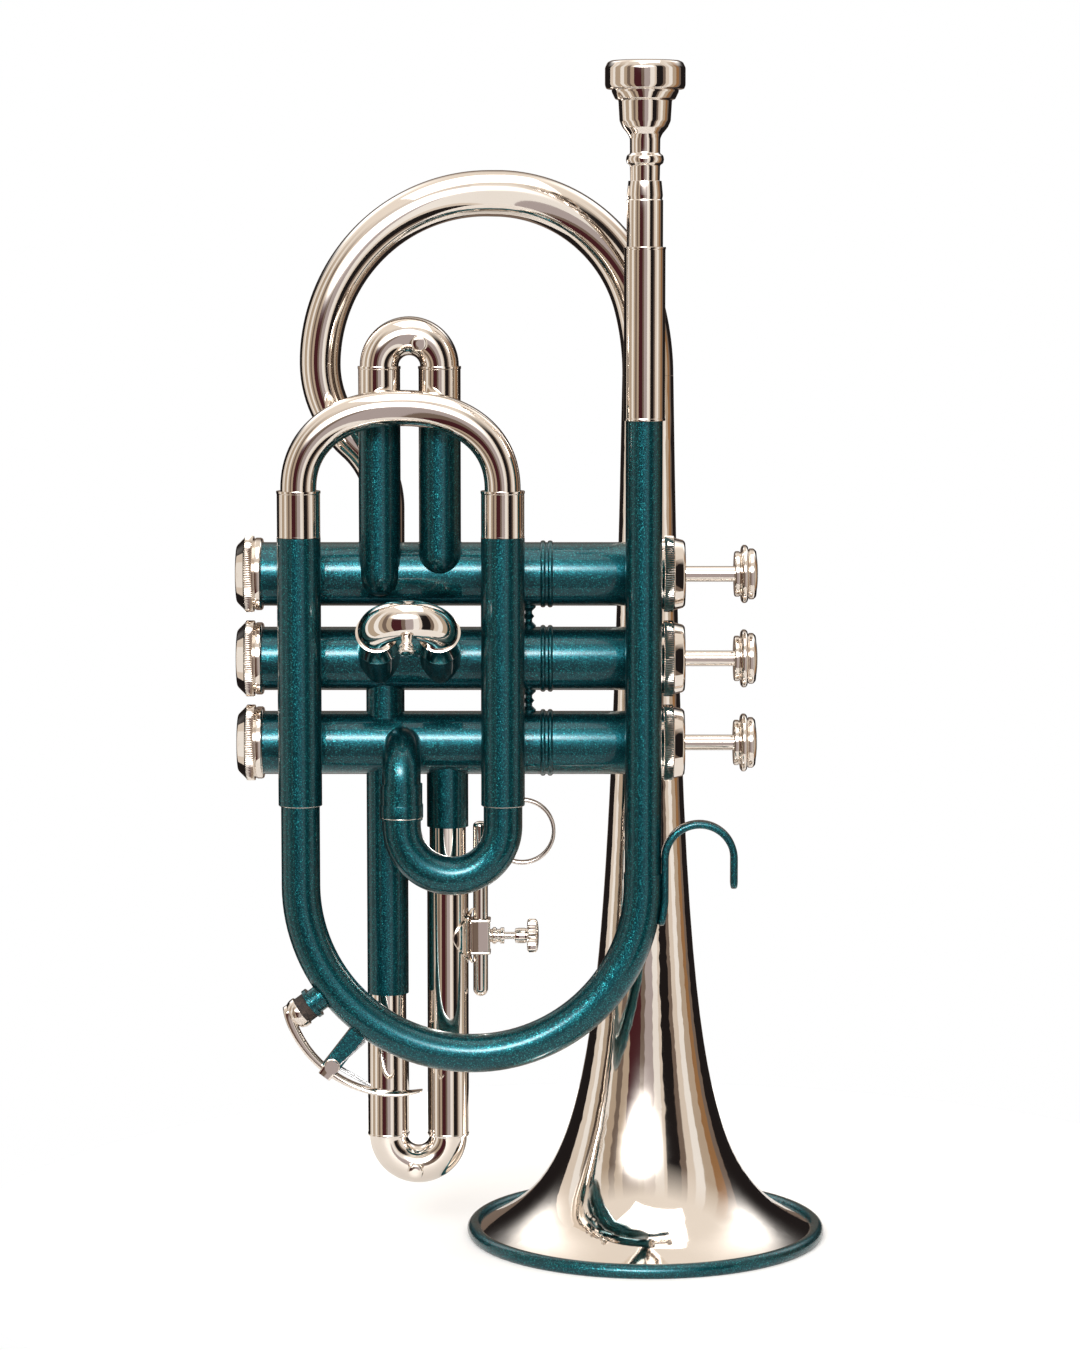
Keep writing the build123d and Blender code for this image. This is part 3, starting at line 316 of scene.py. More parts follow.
def lathe(outline, origin, direction, segments=96, depth=None):
    """Vertices and faces of a closed (along, radius) outline turned about an axis.
    depth(along, radius, segment) is how far a point is cut below its radius."""
    along = Vector(direction).normalized()
    across, up = frame_along(direction)
    vertices, rings = [], []
    for z, r in outline:
        centre = Vector(origin) + along * z
        if r < 1e-4:
            rings.append([len(vertices)])
            vertices.append(centre)
            continue
        ring = []
        for k in range(segments):
            a = 2 * math.pi * k / segments
            reach = r - (depth(z, r, k) if depth else 0.0)
            ring.append(len(vertices))
            vertices.append(centre + across * reach * math.cos(a) + up * reach * math.sin(a))
        rings.append(ring)
    faces = []
    for i, ring in enumerate(rings):
        other = rings[(i + 1) % len(rings)]
        if len(ring) == 1 and len(other) == 1:
            continue
        for k in range(segments):
            n = (k + 1) % segments
            if len(ring) == 1:
                faces.append((ring[0], other[n], other[k]))
            elif len(other) == 1:
                faces.append((ring[k], ring[n], other[0]))
            else:
                faces.append((ring[k], ring[n], other[n], other[k]))
    return vertices, faces


def sweep(stations):
    """Skin over closed sections, each a list of the same number of points, with capped ends."""
    vertices = [p for section in stations for p in section]
    count = len(stations[0])
    faces = []
    for i in range(len(stations) - 1):
        for k in range(count):
            n = (k + 1) % count
            a, b = i * count, (i + 1) * count
            faces.append((a + k, a + n, b + n, b + k))
    faces.append(tuple(reversed(range(count))))
    faces.append(tuple((len(stations) - 1) * count + k for k in range(count)))
    return vertices, faces


def join(*parts):
    """One (vertices, faces) pair made of several."""
    vertices, faces = [], []
    for more_vertices, more_faces in parts:
        start = len(vertices)
        vertices += more_vertices
        faces += [tuple(start + i for i in face) for face in more_faces]
    return vertices, faces


def round_section(centre, across, up, radius, count):
    """Circle of points about centre, in the plane of two unit vectors."""
    section = []
    for k in range(count):
        a = 2 * math.pi * k / count
        section.append(Vector(centre) + across * radius * math.cos(a) + up * radius * math.sin(a))
    return section


def strip_section(centre, out, side, thick, wide, corner=0.45, steps=3):
    """Rounded rectangle: thick along out, wide along side."""
    corner = min(corner, thick * 0.49, wide * 0.49)
    points = []
    for sx, sy, start in ((1, 1, 0), (-1, 1, 90), (-1, -1, 180), (1, -1, 270)):
        for k in range(steps + 1):
            a = math.radians(start + 90 * k / steps)
            x = sx * (thick / 2 - corner) + corner * math.cos(a)
            y = sy * (wide / 2 - corner) + corner * math.sin(a)
            points.append(Vector(centre) + Vector(out) * x + Vector(side) * y)
    return points


def wire(path, radius, count=12):
    """Round wire along a path of points."""
    path = [Vector(place) for place in path]
    side = (path[1] - path[0]).orthogonal().normalized()
    sections = []
    for i, place in enumerate(path):
        ahead = (path[min(i + 1, len(path) - 1)] - path[max(i - 1, 0)]).normalized()
        side = (side - ahead * side.dot(ahead)).normalized()
        sections.append(round_section(place, side, ahead.cross(side), radius, count))
    return sweep(sections)


# Shepherd's crook, as one smooth tapered tube

CROOK_TURN = math.radians(9.2)
CROOK_TUBE_R, CROOK_SIDES = (8.65, 8.2, 7.55, 7.0, 6.6, 6.5), 72
TAIL_REACH, TAIL_END_Z = 89.5, 228.0


def crook_line():
    """(reach, z, lean) along the crook's centreline, from the bell's stem to the first valve."""
    top, reach = 356.9, 111.0
    first, second, third, fourth = 90.0, 50.6, 56.5, 35.0
    lean, last = math.radians(15), math.radians(48)
    second_centre = (first * (1 - math.cos(lean)) + second * math.cos(lean), top - second)
    start_z = second_centre[1] + second * math.sin(lean) - first * math.sin(lean)
    arcs = [
        (first, (first, start_z), 0, lean),
        (second, second_centre, lean, math.pi / 2),
        (third, (reach - third, top - third), math.pi / 2, math.pi),
        (fourth, (reach - fourth, top - third), math.pi, math.pi + last),
    ]
    line = []
    for radius, centre, begin, end in arcs:
        count = max(6, int(radius * (end - begin) / 2.0))
        for k in range(count):
            a = begin + (end - begin) * k / count
            line.append((centre[0] - radius * math.cos(a), centre[1] + radius * math.sin(a), a))
    knee_reach = reach - fourth - fourth * math.cos(math.pi + last)
    knee_z = top - third + fourth * math.sin(math.pi + last)
    fifth = (knee_reach - TAIL_REACH) / (1 - math.cos(last))
    for k in range(25):
        a = last * (1 - k / 24)
        tail_z = knee_z - fifth * (math.sin(last) - math.sin(a))
        line.append((TAIL_REACH + fifth * (1 - math.cos(a)), tail_z, math.pi + a))
    line.append((TAIL_REACH, TAIL_END_Z, math.pi))
    return line


def shepherds_crook():
    line = crook_line()
    out = Vector((-math.cos(CROOK_TURN), -math.sin(CROOK_TURN), 0))
    side = Vector((math.sin(CROOK_TURN), -math.cos(CROOK_TURN), 0))
    length = [0.0]
    for a, b in zip(line, line[1:]):
        length.append(length[-1] + math.hypot(b[0] - a[0], b[1] - a[1]))
    stations = []
    for (reach, z, lean), run in zip(line, length):
        place = run / length[-1] * (len(CROOK_TUBE_R) - 1)
        low = min(int(place), len(CROOK_TUBE_R) - 2)
        radius = CROOK_TUBE_R[low] + (CROOK_TUBE_R[low + 1] - CROOK_TUBE_R[low]) * (place - low)
        normal = out * math.cos(lean) - Vector((0, 0, 1)) * math.sin(lean)
        stations.append(round_section(out * reach + Vector((0, 0, z)), side, normal, radius, CROOK_SIDES))
    foot, end_r = out * TAIL_REACH + Vector((0, 0, TAIL_END_Z)), CROOK_TUBE_R[-1]
    for k in range(1, 9):
        a = math.pi / 2 * k / 8.4
        centre = foot - Vector((0, 0, end_r * math.sin(a)))
        stations.append(round_section(centre, side, -out, end_r * math.cos(a), CROOK_SIDES))
    add_piece("shepherds_crook", *sweep(stations), "body", "nickel", ("bell_crook",))


shepherds_crook()


# Places and directions; the places are in mm and most are read from the frame

UP, DOWN = Vector((0, 0, 1)), Vector((0, 0, -1))
TO_BUTTONS = Vector((1, 0, 0))
TO_FRONT, TO_BACK = Vector((0, -1, 0)), Vector((0, 1, 0))


def lowest(node):
    return Vector(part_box(node)[0]) / MM


def highest(node):
    return Vector(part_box(node)[1]) / MM


def middle(node):
    return (lowest(node) + highest(node)) / 2


VALVES = (1, 2, 3)
VALVE_Y = middle("valve_casing_1").y
VALVE_Z = [middle(f"valve_casing_{valve}").z for valve in VALVES]
FRONT_Y = middle("main_bow").y
PIPE_X = middle("leadpipe").x
OUTER_TUBE_R, PIPE_R = 7.2, 6.05
LEG_X = [lowest("tuning_outer_tubes").x + OUTER_TUBE_R, highest("tuning_outer_tubes").x - OUTER_TUBE_R]


# Valves

CAP_SEGMENTS = 384
CAP_KNURL_R, CAP_KNURL_DEPTH, CAP_KNURL_PERIOD = 12.4, 0.42, 4
CASING_R, CASING_BORE_R = 10.6, 9.3
CHAMFER_LENGTH, CHAMFER_DEPTH = 1.0, 0.4
SPRING_WIRE_R, SPRING_TURNS, STEPS_PER_TURN = 0.45, 10, 20
BEAD_AT, BEAD_HALF, BEAD_RISE = (99.8, 102.2), 0.85, 0.6
TOP_CAP = [
    (0, 10.6), (0, 11.6), (1.2, 11.9), (1.2, 12.7), (4.4, 12.7), (4.5, 12.1), (7.5, 11.3), (8.2, 10.6),
    (8.2, 3.0), (4.8, 3.0), (4.8, 10.6),
]
BOTTOM_CAP = [
    (8.7, 10.6), (8.7, 11.7), (8.2, 12.1), (6.5, 12.1), (6.1, 11.7), (5.7, 12.4), (5.7, 12.7), (3.0, 12.7),
    (2.8, 12.2), (0.4, 9.8), (0, 9.2), (0, 1.6), (2.2, 1.6), (2.2, 10.6),
]
BUTTON = [
    (0, 2.6), (0, 7.2), (0.4, 7.6), (1.6, 7.6), (2.0, 7.2), (2.3, 9.0), (2.9, 9.7), (3.9, 9.7), (4.5, 9.1),
    (4.7, 8.0), (5.0, 8.5), (6.4, 8.5), (7.3, 7.6), (7.3, 6.6), (6.5, 6.6), (6.5, 0), (2.0, 0), (2.0, 2.6),
]


def knurl(first, last, radius, depth, period):
    """Cut for lathe: V grooves, one in each period of segments, between two places along the axis."""
    def cut(along, reach, segment):
        inside = first <= along <= last and reach > radius
        return depth * (1 - abs(2 * (segment % period) / period - 1)) if inside else 0.0
    return cut


def valve_casing(valve):
    start = lowest(f"valve_casing_{valve}")
    end = highest(f"valve_casing_{valve}").x - start.x
    outline = [(0, CASING_BORE_R), (0, CASING_R)]
    for bead in BEAD_AT:
        for k in range(9):
            a = math.pi * k / 8
            outline.append((bead - BEAD_HALF * math.cos(a), CASING_R + BEAD_RISE * math.sin(a)))
    outline.append((end - CHAMFER_LENGTH, CASING_R))
    outline += [(end, CASING_R - CHAMFER_DEPTH), (end, CASING_BORE_R)]
    shape = lathe(outline, (start.x, VALVE_Y, VALVE_Z[valve - 1]), TO_BUTTONS, 96)
    add_piece(f"beaded_casing_{valve}", *shape, "body", "lacquer", (f"valve_casing_{valve}",), 50)


def valve_caps(valve):
    top = knurl(1.25, 4.35, CAP_KNURL_R, CAP_KNURL_DEPTH, CAP_KNURL_PERIOD)
    bottom = knurl(3.05, 5.65, CAP_KNURL_R, CAP_KNURL_DEPTH, CAP_KNURL_PERIOD)
    for name, outline, cut in (("top_cap", TOP_CAP, top), ("bottom_cap", BOTTOM_CAP, bottom)):
        origin = (lowest(f"{name}_{valve}").x, VALVE_Y, VALVE_Z[valve - 1])
        shape = lathe(soften(outline, 0.2, 2), origin, TO_BUTTONS, CAP_SEGMENTS, cut)
        add_piece(f"knurled_{name}_{valve}", *shape, "body", "nickel", (f"{name}_{valve}",), 40)


def finger_button(valve):
    origin = (lowest(f"button_{valve}").x, VALVE_Y, VALVE_Z[valve - 1])
    shape = lathe(soften(BUTTON, 0.3, 3), origin, TO_BUTTONS, 96)
    add_piece(f"turned_button_{valve}", *shape, f"valve_{valve}", "nickel", (f"button_{valve}",), 45)


def return_spring(valve):
    """Coil between the guide, which stays, and the piston, which presses its other end."""
    low, high = lowest(f"valve_spring_{valve}"), highest(f"valve_spring_{valve}")
    centre = Vector((0, VALVE_Y, VALVE_Z[valve - 1]))
    radius = (high.y - low.y) / 2 - SPRING_WIRE_R
    first, last = low.x + SPRING_WIRE_R, high.x - SPRING_WIRE_R
    count = SPRING_TURNS * STEPS_PER_TURN
    path = []
    for k in range(count + 1):
        t = k / count
        a = 2 * math.pi * SPRING_TURNS * t
        coil = Vector((0, math.cos(a), math.sin(a))) * radius
        path.append(centre + coil + Vector((first + (last - first) * t, 0, 0)))
    shape = wire(path, SPRING_WIRE_R, 10)
    spring = add_piece(f"return_spring_{valve}", *shape, None, "spring_steel", (f"valve_spring_{valve}",), 60)
    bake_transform(spring)


for valve in VALVES:
    valve_casing(valve)
    valve_caps(valve)
    finger_button(valve)
    return_spring(valve)


# Solder posts between the casings and what passes them

POST_R, FRONT_WAIST, BACK_WAIST = 3.0, 2.1, 2.2
CASING_SINK, TUBE_SINK = 1.2, 1.0
STEM_R = (10.0, 11.8)  # of the bell's stem, level with the first and the third valve


def post(start, end, radius, waist):
    """Vertices and faces of a round post with flared ends."""
    run = Vector(end) - Vector(start)
    rings = [(0, 0)]
    for k in range(13):
        t = k / 12
        rings.append((t * run.length, radius - (radius - waist) * math.sin(math.pi * t) ** 0.7))
    rings.append((run.length, 0))
    return lathe(rings, start, run, 32)


def solder_posts():
    posts = []
    for z in VALVE_Z:
        for x, tube_r in ((LEG_X[0], OUTER_TUBE_R), (LEG_X[1], OUTER_TUBE_R), (PIPE_X, PIPE_R)):
            start = (x, VALVE_Y - CASING_R + CASING_SINK, z)
            posts.append(post(start, (x, FRONT_Y + tube_r - TUBE_SINK, z), POST_R, FRONT_WAIST))
    for z, stem_r in ((VALVE_Z[0], STEM_R[0]), (VALVE_Z[2], STEM_R[1])):
        start = (0, VALVE_Y + CASING_R - CASING_SINK, z)
        posts.append(post(start, (0, TUBE_SINK - stem_r, z), POST_R, BACK_WAIST))
    add_piece("solder_posts", *join(*posts), "body", "lacquer", ("tube_saddles",), 50)


solder_posts()


# Mouthpiece and pipe

MOUTHPIECE = [
    (0, 4.3), (20.6, 4.8), (25.4, 4.9), (26.0, 5.9), (27.3, 6.2), (28.6, 5.9), (29.2, 4.9), (34.0, 4.95),
    (35.4, 5.6), (37.6, 7.4), (39.6, 8.3), (46.3, 8.7), (46.5, 9.7), (48.9, 10.85), (49.6, 10.85),
    (49.8, 12.6), (51.0, 13.05), (56.6, 13.05), (58.4, 12.2), (59.0, 10.8), (58.6, 9.2), (56.6, 8.35),
    (52.0, 8.1), (47.0, 6.6), (44.0, 4.2), (42.6, 2.2), (41.4, 1.8), (39.0, 1.8), (0, 3.6),
]
RECEIVER = [
    (0, 5.35), (16.0, 5.35), (16.0, 5.93), (31.1, 5.93), (31.3, 5.6), (32.5, 5.85), (35.3, 5.6),
    (37.3, 5.4), (37.3, 4.85), (16.9, 4.35), (0, 4.35),
]
SLEEVE = [
    (0, 5.35), (6.0, 5.35), (6.0, 6.9), (6.6, 6.9), (6.9, 6.75), (61.4, 6.75), (61.7, 6.9), (62.3, 6.9),
    (62.3, 5.35), (46.3, 5.35), (46.3, 4.7), (0, 4.7),
]


def turned(name, outline, node, body, radius):
    """A nickel part turned about the mouthpiece pipe's axis, in place of its node."""
    origin = (PIPE_X, FRONT_Y, lowest(node).z)
    add_piece(name, *lathe(soften(outline, radius, 3), origin, UP, 128), body, "nickel", (node,), 45)


turned("turned_mouthpiece", MOUTHPIECE, "mouthpiece", "mouthpiece", 0.45)
turned("turned_receiver", RECEIVER, "mouthpiece_receiver", "body", 0.15)
turned("pipe_sleeve", SLEEVE, "leadpipe_sleeve", "body", 0.12)


# Slides: legs with stop sleeves, bows and pull knobs

SLIDE_WALL, LIP, STOP_GAP = 0.65, 0.16, 0.15
FERRULE_R, FERRULE_BORE_R, FERRULE_LENGTH, FERRULE_LAP = 7.18, 6.35, 4.3, 0.2
SLIDE_R, SLIDE_SLEEVE_R, SLIDE_BOW_R = 6.1, 6.95, 6.4
TUNING_R, TUNING_SLEEVE_R, TUNING_SQUARENESS = 5.9, 7.1, 2.25
SECOND_TILT, SECOND_ROOT_DROP = math.radians(29.0), 3.25
FIRST_KNOB = (3.6, 7.6, 2.0)  # aside from the bow's middle, up from its legs' ends, out past its tube
THIRD_KNOB = (-0.8, -10.6, 4.4)
SECOND_KNOB_OUT = 5.6
KNOB = [
    (0, 0), (0, 1.75), (-3.3, 1.75), (-3.1, 2.3), (-2.7, 2.45), (-2.3, 2.3), (-2.1, 1.8), (-1.8, 1.8),
    (-1.6, 2.5), (-1.2, 2.7), (-0.5, 2.7), (-0.1, 2.1), (0, 1.2), (0, 0),
]
SOLDER_RING = [(-0.3, 6.35), (-0.28, 6.9), (-0.1, 7.16), (0.1, 7.2), (0.2, 7.1), (0.2, 6.35)]


def slide_leg(foot, direction, stop, end, leg_r, sleeve_r):
    """A slide's leg from its foot: thin up to stop, then a wider sleeve with a lip at its end."""
    outline = [
        (0, leg_r - SLIDE_WALL), (0, leg_r), (stop, leg_r),
        (stop, sleeve_r + LIP / 2), (stop + 0.5, sleeve_r),
        (end - 1.0, sleeve_r), (end - 0.8, sleeve_r + LIP), (end, sleeve_r + LIP), (end, leg_r - SLIDE_WALL),
    ]
    return lathe(soften(outline, 0.12, 2), foot, direction, 80)


def pull_knob(start, direction, length):
    """Turned knob: KNOB, drawn out from start so that its end is length away."""
    outline = [(z if z == 0 and i < 2 else length + z, r) for i, (z, r) in enumerate(KNOB)]
    return lathe(soften(outline, 0.12, 2), start, direction, 48)


def u_bow(left, right, outward, radius):
    """Half-circle tube from one leg to the other."""
    left, right, outward = Vector(left), Vector(right), Vector(outward).normalized()
    centre, arm = (left + right) / 2, (left - right) / 2
    across = arm.cross(outward).normalized()
    stations = []
    for k in range(37):
        a = math.pi * k / 36
        away = arm.normalized() * math.cos(a) + outward * math.sin(a)
        stations.append(round_section(centre + away * arm.length, across, away, radius, 64))
    return sweep(stations)


def tuning_legs():
    low, high = lowest("tuning_inner_tubes").z, highest("tuning_inner_tubes").z
    stop = highest("tuning_outer_tubes").z + STOP_GAP - low
    legs = [slide_leg((x, FRONT_Y, low), UP, stop, high - low, TUNING_R, TUNING_SLEEVE_R) for x in LEG_X]
    add_piece("tuning_slide_legs", *join(*legs), "tuning_slide", "nickel", ("tuning_inner_tubes",), 45)


def tuning_bow():
    """Arch between the two slide legs: a superellipse, a little squarer than a half circle."""
    low, high = lowest("tuning_bow"), highest("tuning_bow")
    half, rise = (high.x - low.x) / 2 - TUNING_R, high.z - low.z - TUNING_R
    centre = Vector(((high.x + low.x) / 2, FRONT_Y, low.z))
    power, last = 2.0 / TUNING_SQUARENESS, 72
    path = []
    for k in range(last + 1):
        a = math.pi * k / last
        across, up = -math.cos(a), max(math.sin(a), 0.0)
        reach = math.copysign(abs(across) ** power, across) * half
        path.append(centre + Vector((reach, 0, up ** power * rise)))
    sections = []
    for i, place in enumerate(path):
        if 0 < i < last:
            ahead = (path[i + 1] - path[i - 1]).normalized()
        else:
            ahead = UP if i == 0 else DOWN
        sections.append(round_section(place, TO_BACK, ahead.cross(TO_BACK), TUNING_R, 64))
    add_piece("tuning_slide_bow", *sweep(sections), "tuning_slide", "nickel", ("tuning_bow",), 60)


def first_slide():
    low, high = lowest("first_inner_tubes"), highest("first_inner_tubes")
    y = (low.y + high.y) / 2
    ends = [low.x + SLIDE_SLEEVE_R, high.x - SLIDE_SLEEVE_R]
    stop = highest("first_outer_tubes").z + STOP_GAP - low.z
    legs = [slide_leg((x, y, low.z), UP, stop, high.z - low.z, SLIDE_R, SLIDE_SLEEVE_R) for x in ends]
    add_piece("first_slide_legs", *join(*legs), "first_slide", "nickel", ("first_inner_tubes",), 45)
    bow = u_bow((ends[0], y, high.z), (ends[1], y, high.z), UP, SLIDE_BOW_R)
    aside, up, past = FIRST_KNOB
    knob = pull_knob((sum(ends) / 2 + aside, y, high.z + up), TO_FRONT, SLIDE_BOW_R + past)
    add_piece("first_slide_bow", *join(bow, knob), "first_slide", "nickel", ("first_bow",), 45)


def second_slide():
    """Short slide out of the second casing, tilted up towards the front."""
    out = Vector((0, -math.cos(SECOND_TILT), math.sin(SECOND_TILT)))
    across = Vector((0, math.sin(SECOND_TILT), math.cos(SECOND_TILT)))
    root = Vector((0, VALVE_Y, VALVE_Z[1])) - across * SECOND_ROOT_DROP
    low, high = lowest("second_inner_tubes"), highest("second_inner_tubes")
    ends = [low.x + SLIDE_SLEEVE_R, high.x - SLIDE_SLEEVE_R]
    foot, stop, end = 11.3, 18.95, 29.4
    at = [Vector((x, 0, 0)) + root for x in ends]
    legs = [slide_leg(p + out * foot, out, stop - foot, end - foot, SLIDE_R, SLIDE_SLEEVE_R) for p in at]
    add_piece("second_slide_legs", *join(*legs), "second_slide", "nickel", ("second_inner_tubes",), 45)
    bow = u_bow(at[0] + out * end, at[1] + out * end, out, SLIDE_BOW_R)
    apex = (at[0] + at[1]) / 2 + out * (end + (ends[1] - ends[0]) / 2)
    knob = pull_knob(apex, -across, SLIDE_BOW_R + SECOND_KNOB_OUT)
    add_piece("second_slide_bow", *join(bow, knob), "second_slide", "nickel", ("second_bow",), 45)


def third_slide():
    """Slide that hangs down, drawn out so that a bare length of leg shows above the sleeves."""
    low, high = lowest("third_inner_tubes"), highest("third_inner_tubes")
    ends = [low.x + SLIDE_SLEEVE_R, high.x - SLIDE_SLEEVE_R]
    top_step, bare = 5.9, 10.6
    legs = []
    for x, top, inside in ((ends[0], high.z - top_step, 60.0), (ends[1], high.z, 9.2)):
        legs.append(slide_leg((x, VALVE_Y, top), DOWN, inside + bare, top - low.z, SLIDE_R, SLIDE_SLEEVE_R))
    add_piece("third_slide_legs", *join(*legs), "third_slide", "nickel", ("third_inner_tubes",), 45)
    bow = u_bow((ends[0], VALVE_Y, low.z), (ends[1], VALVE_Y, low.z), DOWN, SLIDE_BOW_R)
    aside, up, past = THIRD_KNOB
    knob = pull_knob((sum(ends) / 2 + aside, VALVE_Y, low.z + up), TO_FRONT, SLIDE_BOW_R + past)
    add_piece("third_slide_bow", *join(bow, knob), "third_slide", "nickel", ("third_bow",), 45)


def elbow_ferrule():
    """Sleeve that carries the inlet elbow's wide end down over the bow."""
    end = FERRULE_LENGTH
    outline = [(0, FERRULE_BORE_R), (0, FERRULE_R), (end, FERRULE_R), (end, FERRULE_BORE_R)]
    shape = lathe(soften(outline, 0.12, 2), ferrule_foot(), UP, 96)
    add_piece("elbow_ferrule", *shape, "body", "lacquer", (), 50)


def ferrule_foot():
    z = highest("inlet_bow").z + FERRULE_LAP - FERRULE_LENGTH
    return Vector((lowest("inlet_bow").x + SLIDE_BOW_R, FRONT_Y, z))


def solder_rings():
    """Bright rings where a wide tube ends on a narrower one."""
    rings = []
    foot = lowest("tuning_outer_tubes").z
    for place in ((LEG_X[0], FRONT_Y, foot), (LEG_X[1], FRONT_Y, foot), ferrule_foot()):
        rings.append(lathe(soften(SOLDER_RING, 0.12, 2), place, UP, 96))
    add_piece("solder_rings", *join(*rings), "body", "nickel", (), 60)


tuning_legs()
tuning_bow()
first_slide()
second_slide()
third_slide()
elbow_ferrule()
solder_rings()


# Finger ring, its clamp and thumb screw

SCREW_FROM_ROD, ROD_R = 11.1, 2.5
ROD_X = middle("clamp_screw").x - SCREW_FROM_ROD
CLAMP_LOW, CLAMP_HIGH = 102.7, 114.6
CLAMP_Z = (CLAMP_LOW + CLAMP_HIGH) / 2
CLAMP_HALF_X, CLAMP_HALF_Y = 3.2, 3.5
RIM_EDGE, RIM_HALF = 0.25, 0.5
NECK_FROM_SLEEVE, NECK_HALF_Y, NECK_HALF_Z, NECK_SINK = 7.2, 2, 5, 0.8
LINK_X, LINK_HALF_Y, LINK_HALF_Z = (1.8, 3.3), 1.2, 2.2
SADDLE_R, SADDLE_HALF_HEIGHT, SADDLE_HALF_TURN = (6.96, 7.8), 9.3, math.radians(74)
RING_R, RING_BORE_R, RING_HALF = 11.2, 10.0, 2.0
CLAMP_BOSS = [
    (0, 1.4), (0, 2.2), (0.8, 2.2), (1.2, 2.8), (2.0, 2.9), (2.6, 2.2), (3.4, 2.2), (3.8, 2.75),
    (5.0, 2.75), (5.0, 1.4),
]
THUMB_SCREW = [
    (0, 0), (0, 1.2), (8.9, 1.2), (9.1, 2.4), (10.3, 2.6), (12.3, 2.6), (13.0, 2.3), (13.1, 4.9),
    (13.5, 5.65), (16.0, 5.65), (16.6, 4.8), (16.9, 3.0), (17.0, 0),
]


def block(low, high, corner):
    """Vertices and faces of an upright block with all its edges rounded."""
    low, high = Vector(low), Vector(high)
    centre, size = (low + high) / 2, high - low
    bottom = []
    for k in range(7):
        a = math.pi / 2 * k / 6
        bottom.append((low.z + corner * (1 - math.sin(a)), corner * (1 - math.cos(a))))
    top = [(low.z + high.z - z, inset) for z, inset in bottom]
    sections = []
    for z, inset in sorted(bottom + top):
        place = (centre.x, centre.y, z)
        thick, wide = size.x - 2 * inset, size.y - 2 * inset
        sections.append(strip_section(place, TO_BUTTONS, TO_BACK, thick, wide, corner, 4))
    return sweep(sections)


def clamp_saddle(sleeve_x):
    """Diamond plate bent round the slide's sleeve."""
    inner, outer = SADDLE_R
    sections = []
    for k in range(41):
        v = -1 + 2 * k / 40
        turn = max(SADDLE_HALF_TURN * (1 - abs(v) ** 1.7), 0.02)
        lift = 0.9 * abs(v) ** 5
        rim = [turn * (i / 8 - 1) for i in range(17)]
        around = [(a, outer + lift) for a in rim] + [(a, inner + lift) for a in reversed(rim)]
        z = CLAMP_Z + SADDLE_HALF_HEIGHT * v
        section = [(sleeve_x + r * math.cos(a), VALVE_Y + r * math.sin(a), z) for a, r in around]
        sections.append([Vector(point) for point in section])
    return sweep(sections)


def ring_clamp():
    """Box on the ring's rod with a rim at each end, a neck to the saddle, and the screw's boss."""
    sleeve_x = highest("third_inner_tubes").x - SLIDE_SLEEVE_R
    half_x, half_y = CLAMP_HALF_X, CLAMP_HALF_Y
    low = (ROD_X - half_x, VALVE_Y - half_y, CLAMP_LOW)
    high = (ROD_X + half_x, VALVE_Y + half_y, CLAMP_HIGH)
    box = block(low, high, 0.7)
    rims = []
    for z in (CLAMP_LOW + RIM_HALF, CLAMP_HIGH - RIM_HALF):
        low = (ROD_X - half_x - RIM_EDGE, VALVE_Y - half_y - RIM_EDGE, z - RIM_HALF)
        high = (ROD_X + half_x + RIM_EDGE, VALVE_Y + half_y + RIM_EDGE, z + RIM_HALF)
        rims.append(block(low, high, 0.45))
    low = (sleeve_x + NECK_FROM_SLEEVE, VALVE_Y - NECK_HALF_Y, CLAMP_Z - NECK_HALF_Z)
    high = (ROD_X - half_x + NECK_SINK, VALVE_Y + NECK_HALF_Y, CLAMP_Z + NECK_HALF_Z)
    neck = block(low, high, 0.6)
    boss = lathe(soften(CLAMP_BOSS, 0.25, 3), (ROD_X + half_x - 0.2, VALVE_Y, CLAMP_Z), TO_BUTTONS, 64)
    shape = join(clamp_saddle(sleeve_x), box, *rims, neck, boss)
    add_piece("clamp_with_saddle", *shape, "third_slide", "nickel", ("ring_clamp",), 45)


def thumb_screw():
    start = (lowest("clamp_screw").x, VALVE_Y, CLAMP_Z)
    cut = knurl(13.2, 16.3, 5.0, 0.5, 6)
    shape = lathe(soften(THUMB_SCREW, 0.2, 3), start, TO_BUTTONS, 168, cut)
    add_piece("knurled_thumb_screw", *shape, "clamp_screw", "nickel", ("clamp_screw",), 40)


def finger_ring():
    """Band ring, the round-ended rod beside it, and the block that joins them."""
    low, high = lowest("finger_ring"), highest("finger_ring")
    centre = Vector((high.x - RING_R, VALVE_Y, high.z - RING_R))
    hoop = [(-RING_HALF, RING_BORE_R), (-RING_HALF, RING_R), (RING_HALF, RING_R), (RING_HALF, RING_BORE_R)]
    ring = lathe(soften(hoop, 0.55, 4), centre, TO_BACK, 128)
    length = centre.z + 3.4 - low.z
    quarter = [math.pi / 2 * k / 8 for k in range(9)]
    dome = [(ROD_R * (1 - math.cos(a)), ROD_R * math.sin(a)) for a in quarter]
    bar = dome + [(length - z * 0.6, r) for z, r in reversed(dome)]
    rod = lathe(bar, (ROD_X, VALVE_Y, low.z), UP, 64)
    link_low = (ROD_X + LINK_X[0], VALVE_Y - LINK_HALF_Y, centre.z - LINK_HALF_Z)
    link_high = (ROD_X + LINK_X[1], VALVE_Y + LINK_HALF_Y, centre.z + LINK_HALF_Z)
    link = block(link_low, link_high, 0.4)
    add_piece("ring_and_rod", *join(ring, rod, link), "finger_ring", "nickel", ("finger_ring",), 45)


ring_clamp()
thumb_screw()
finger_ring()


# Water key

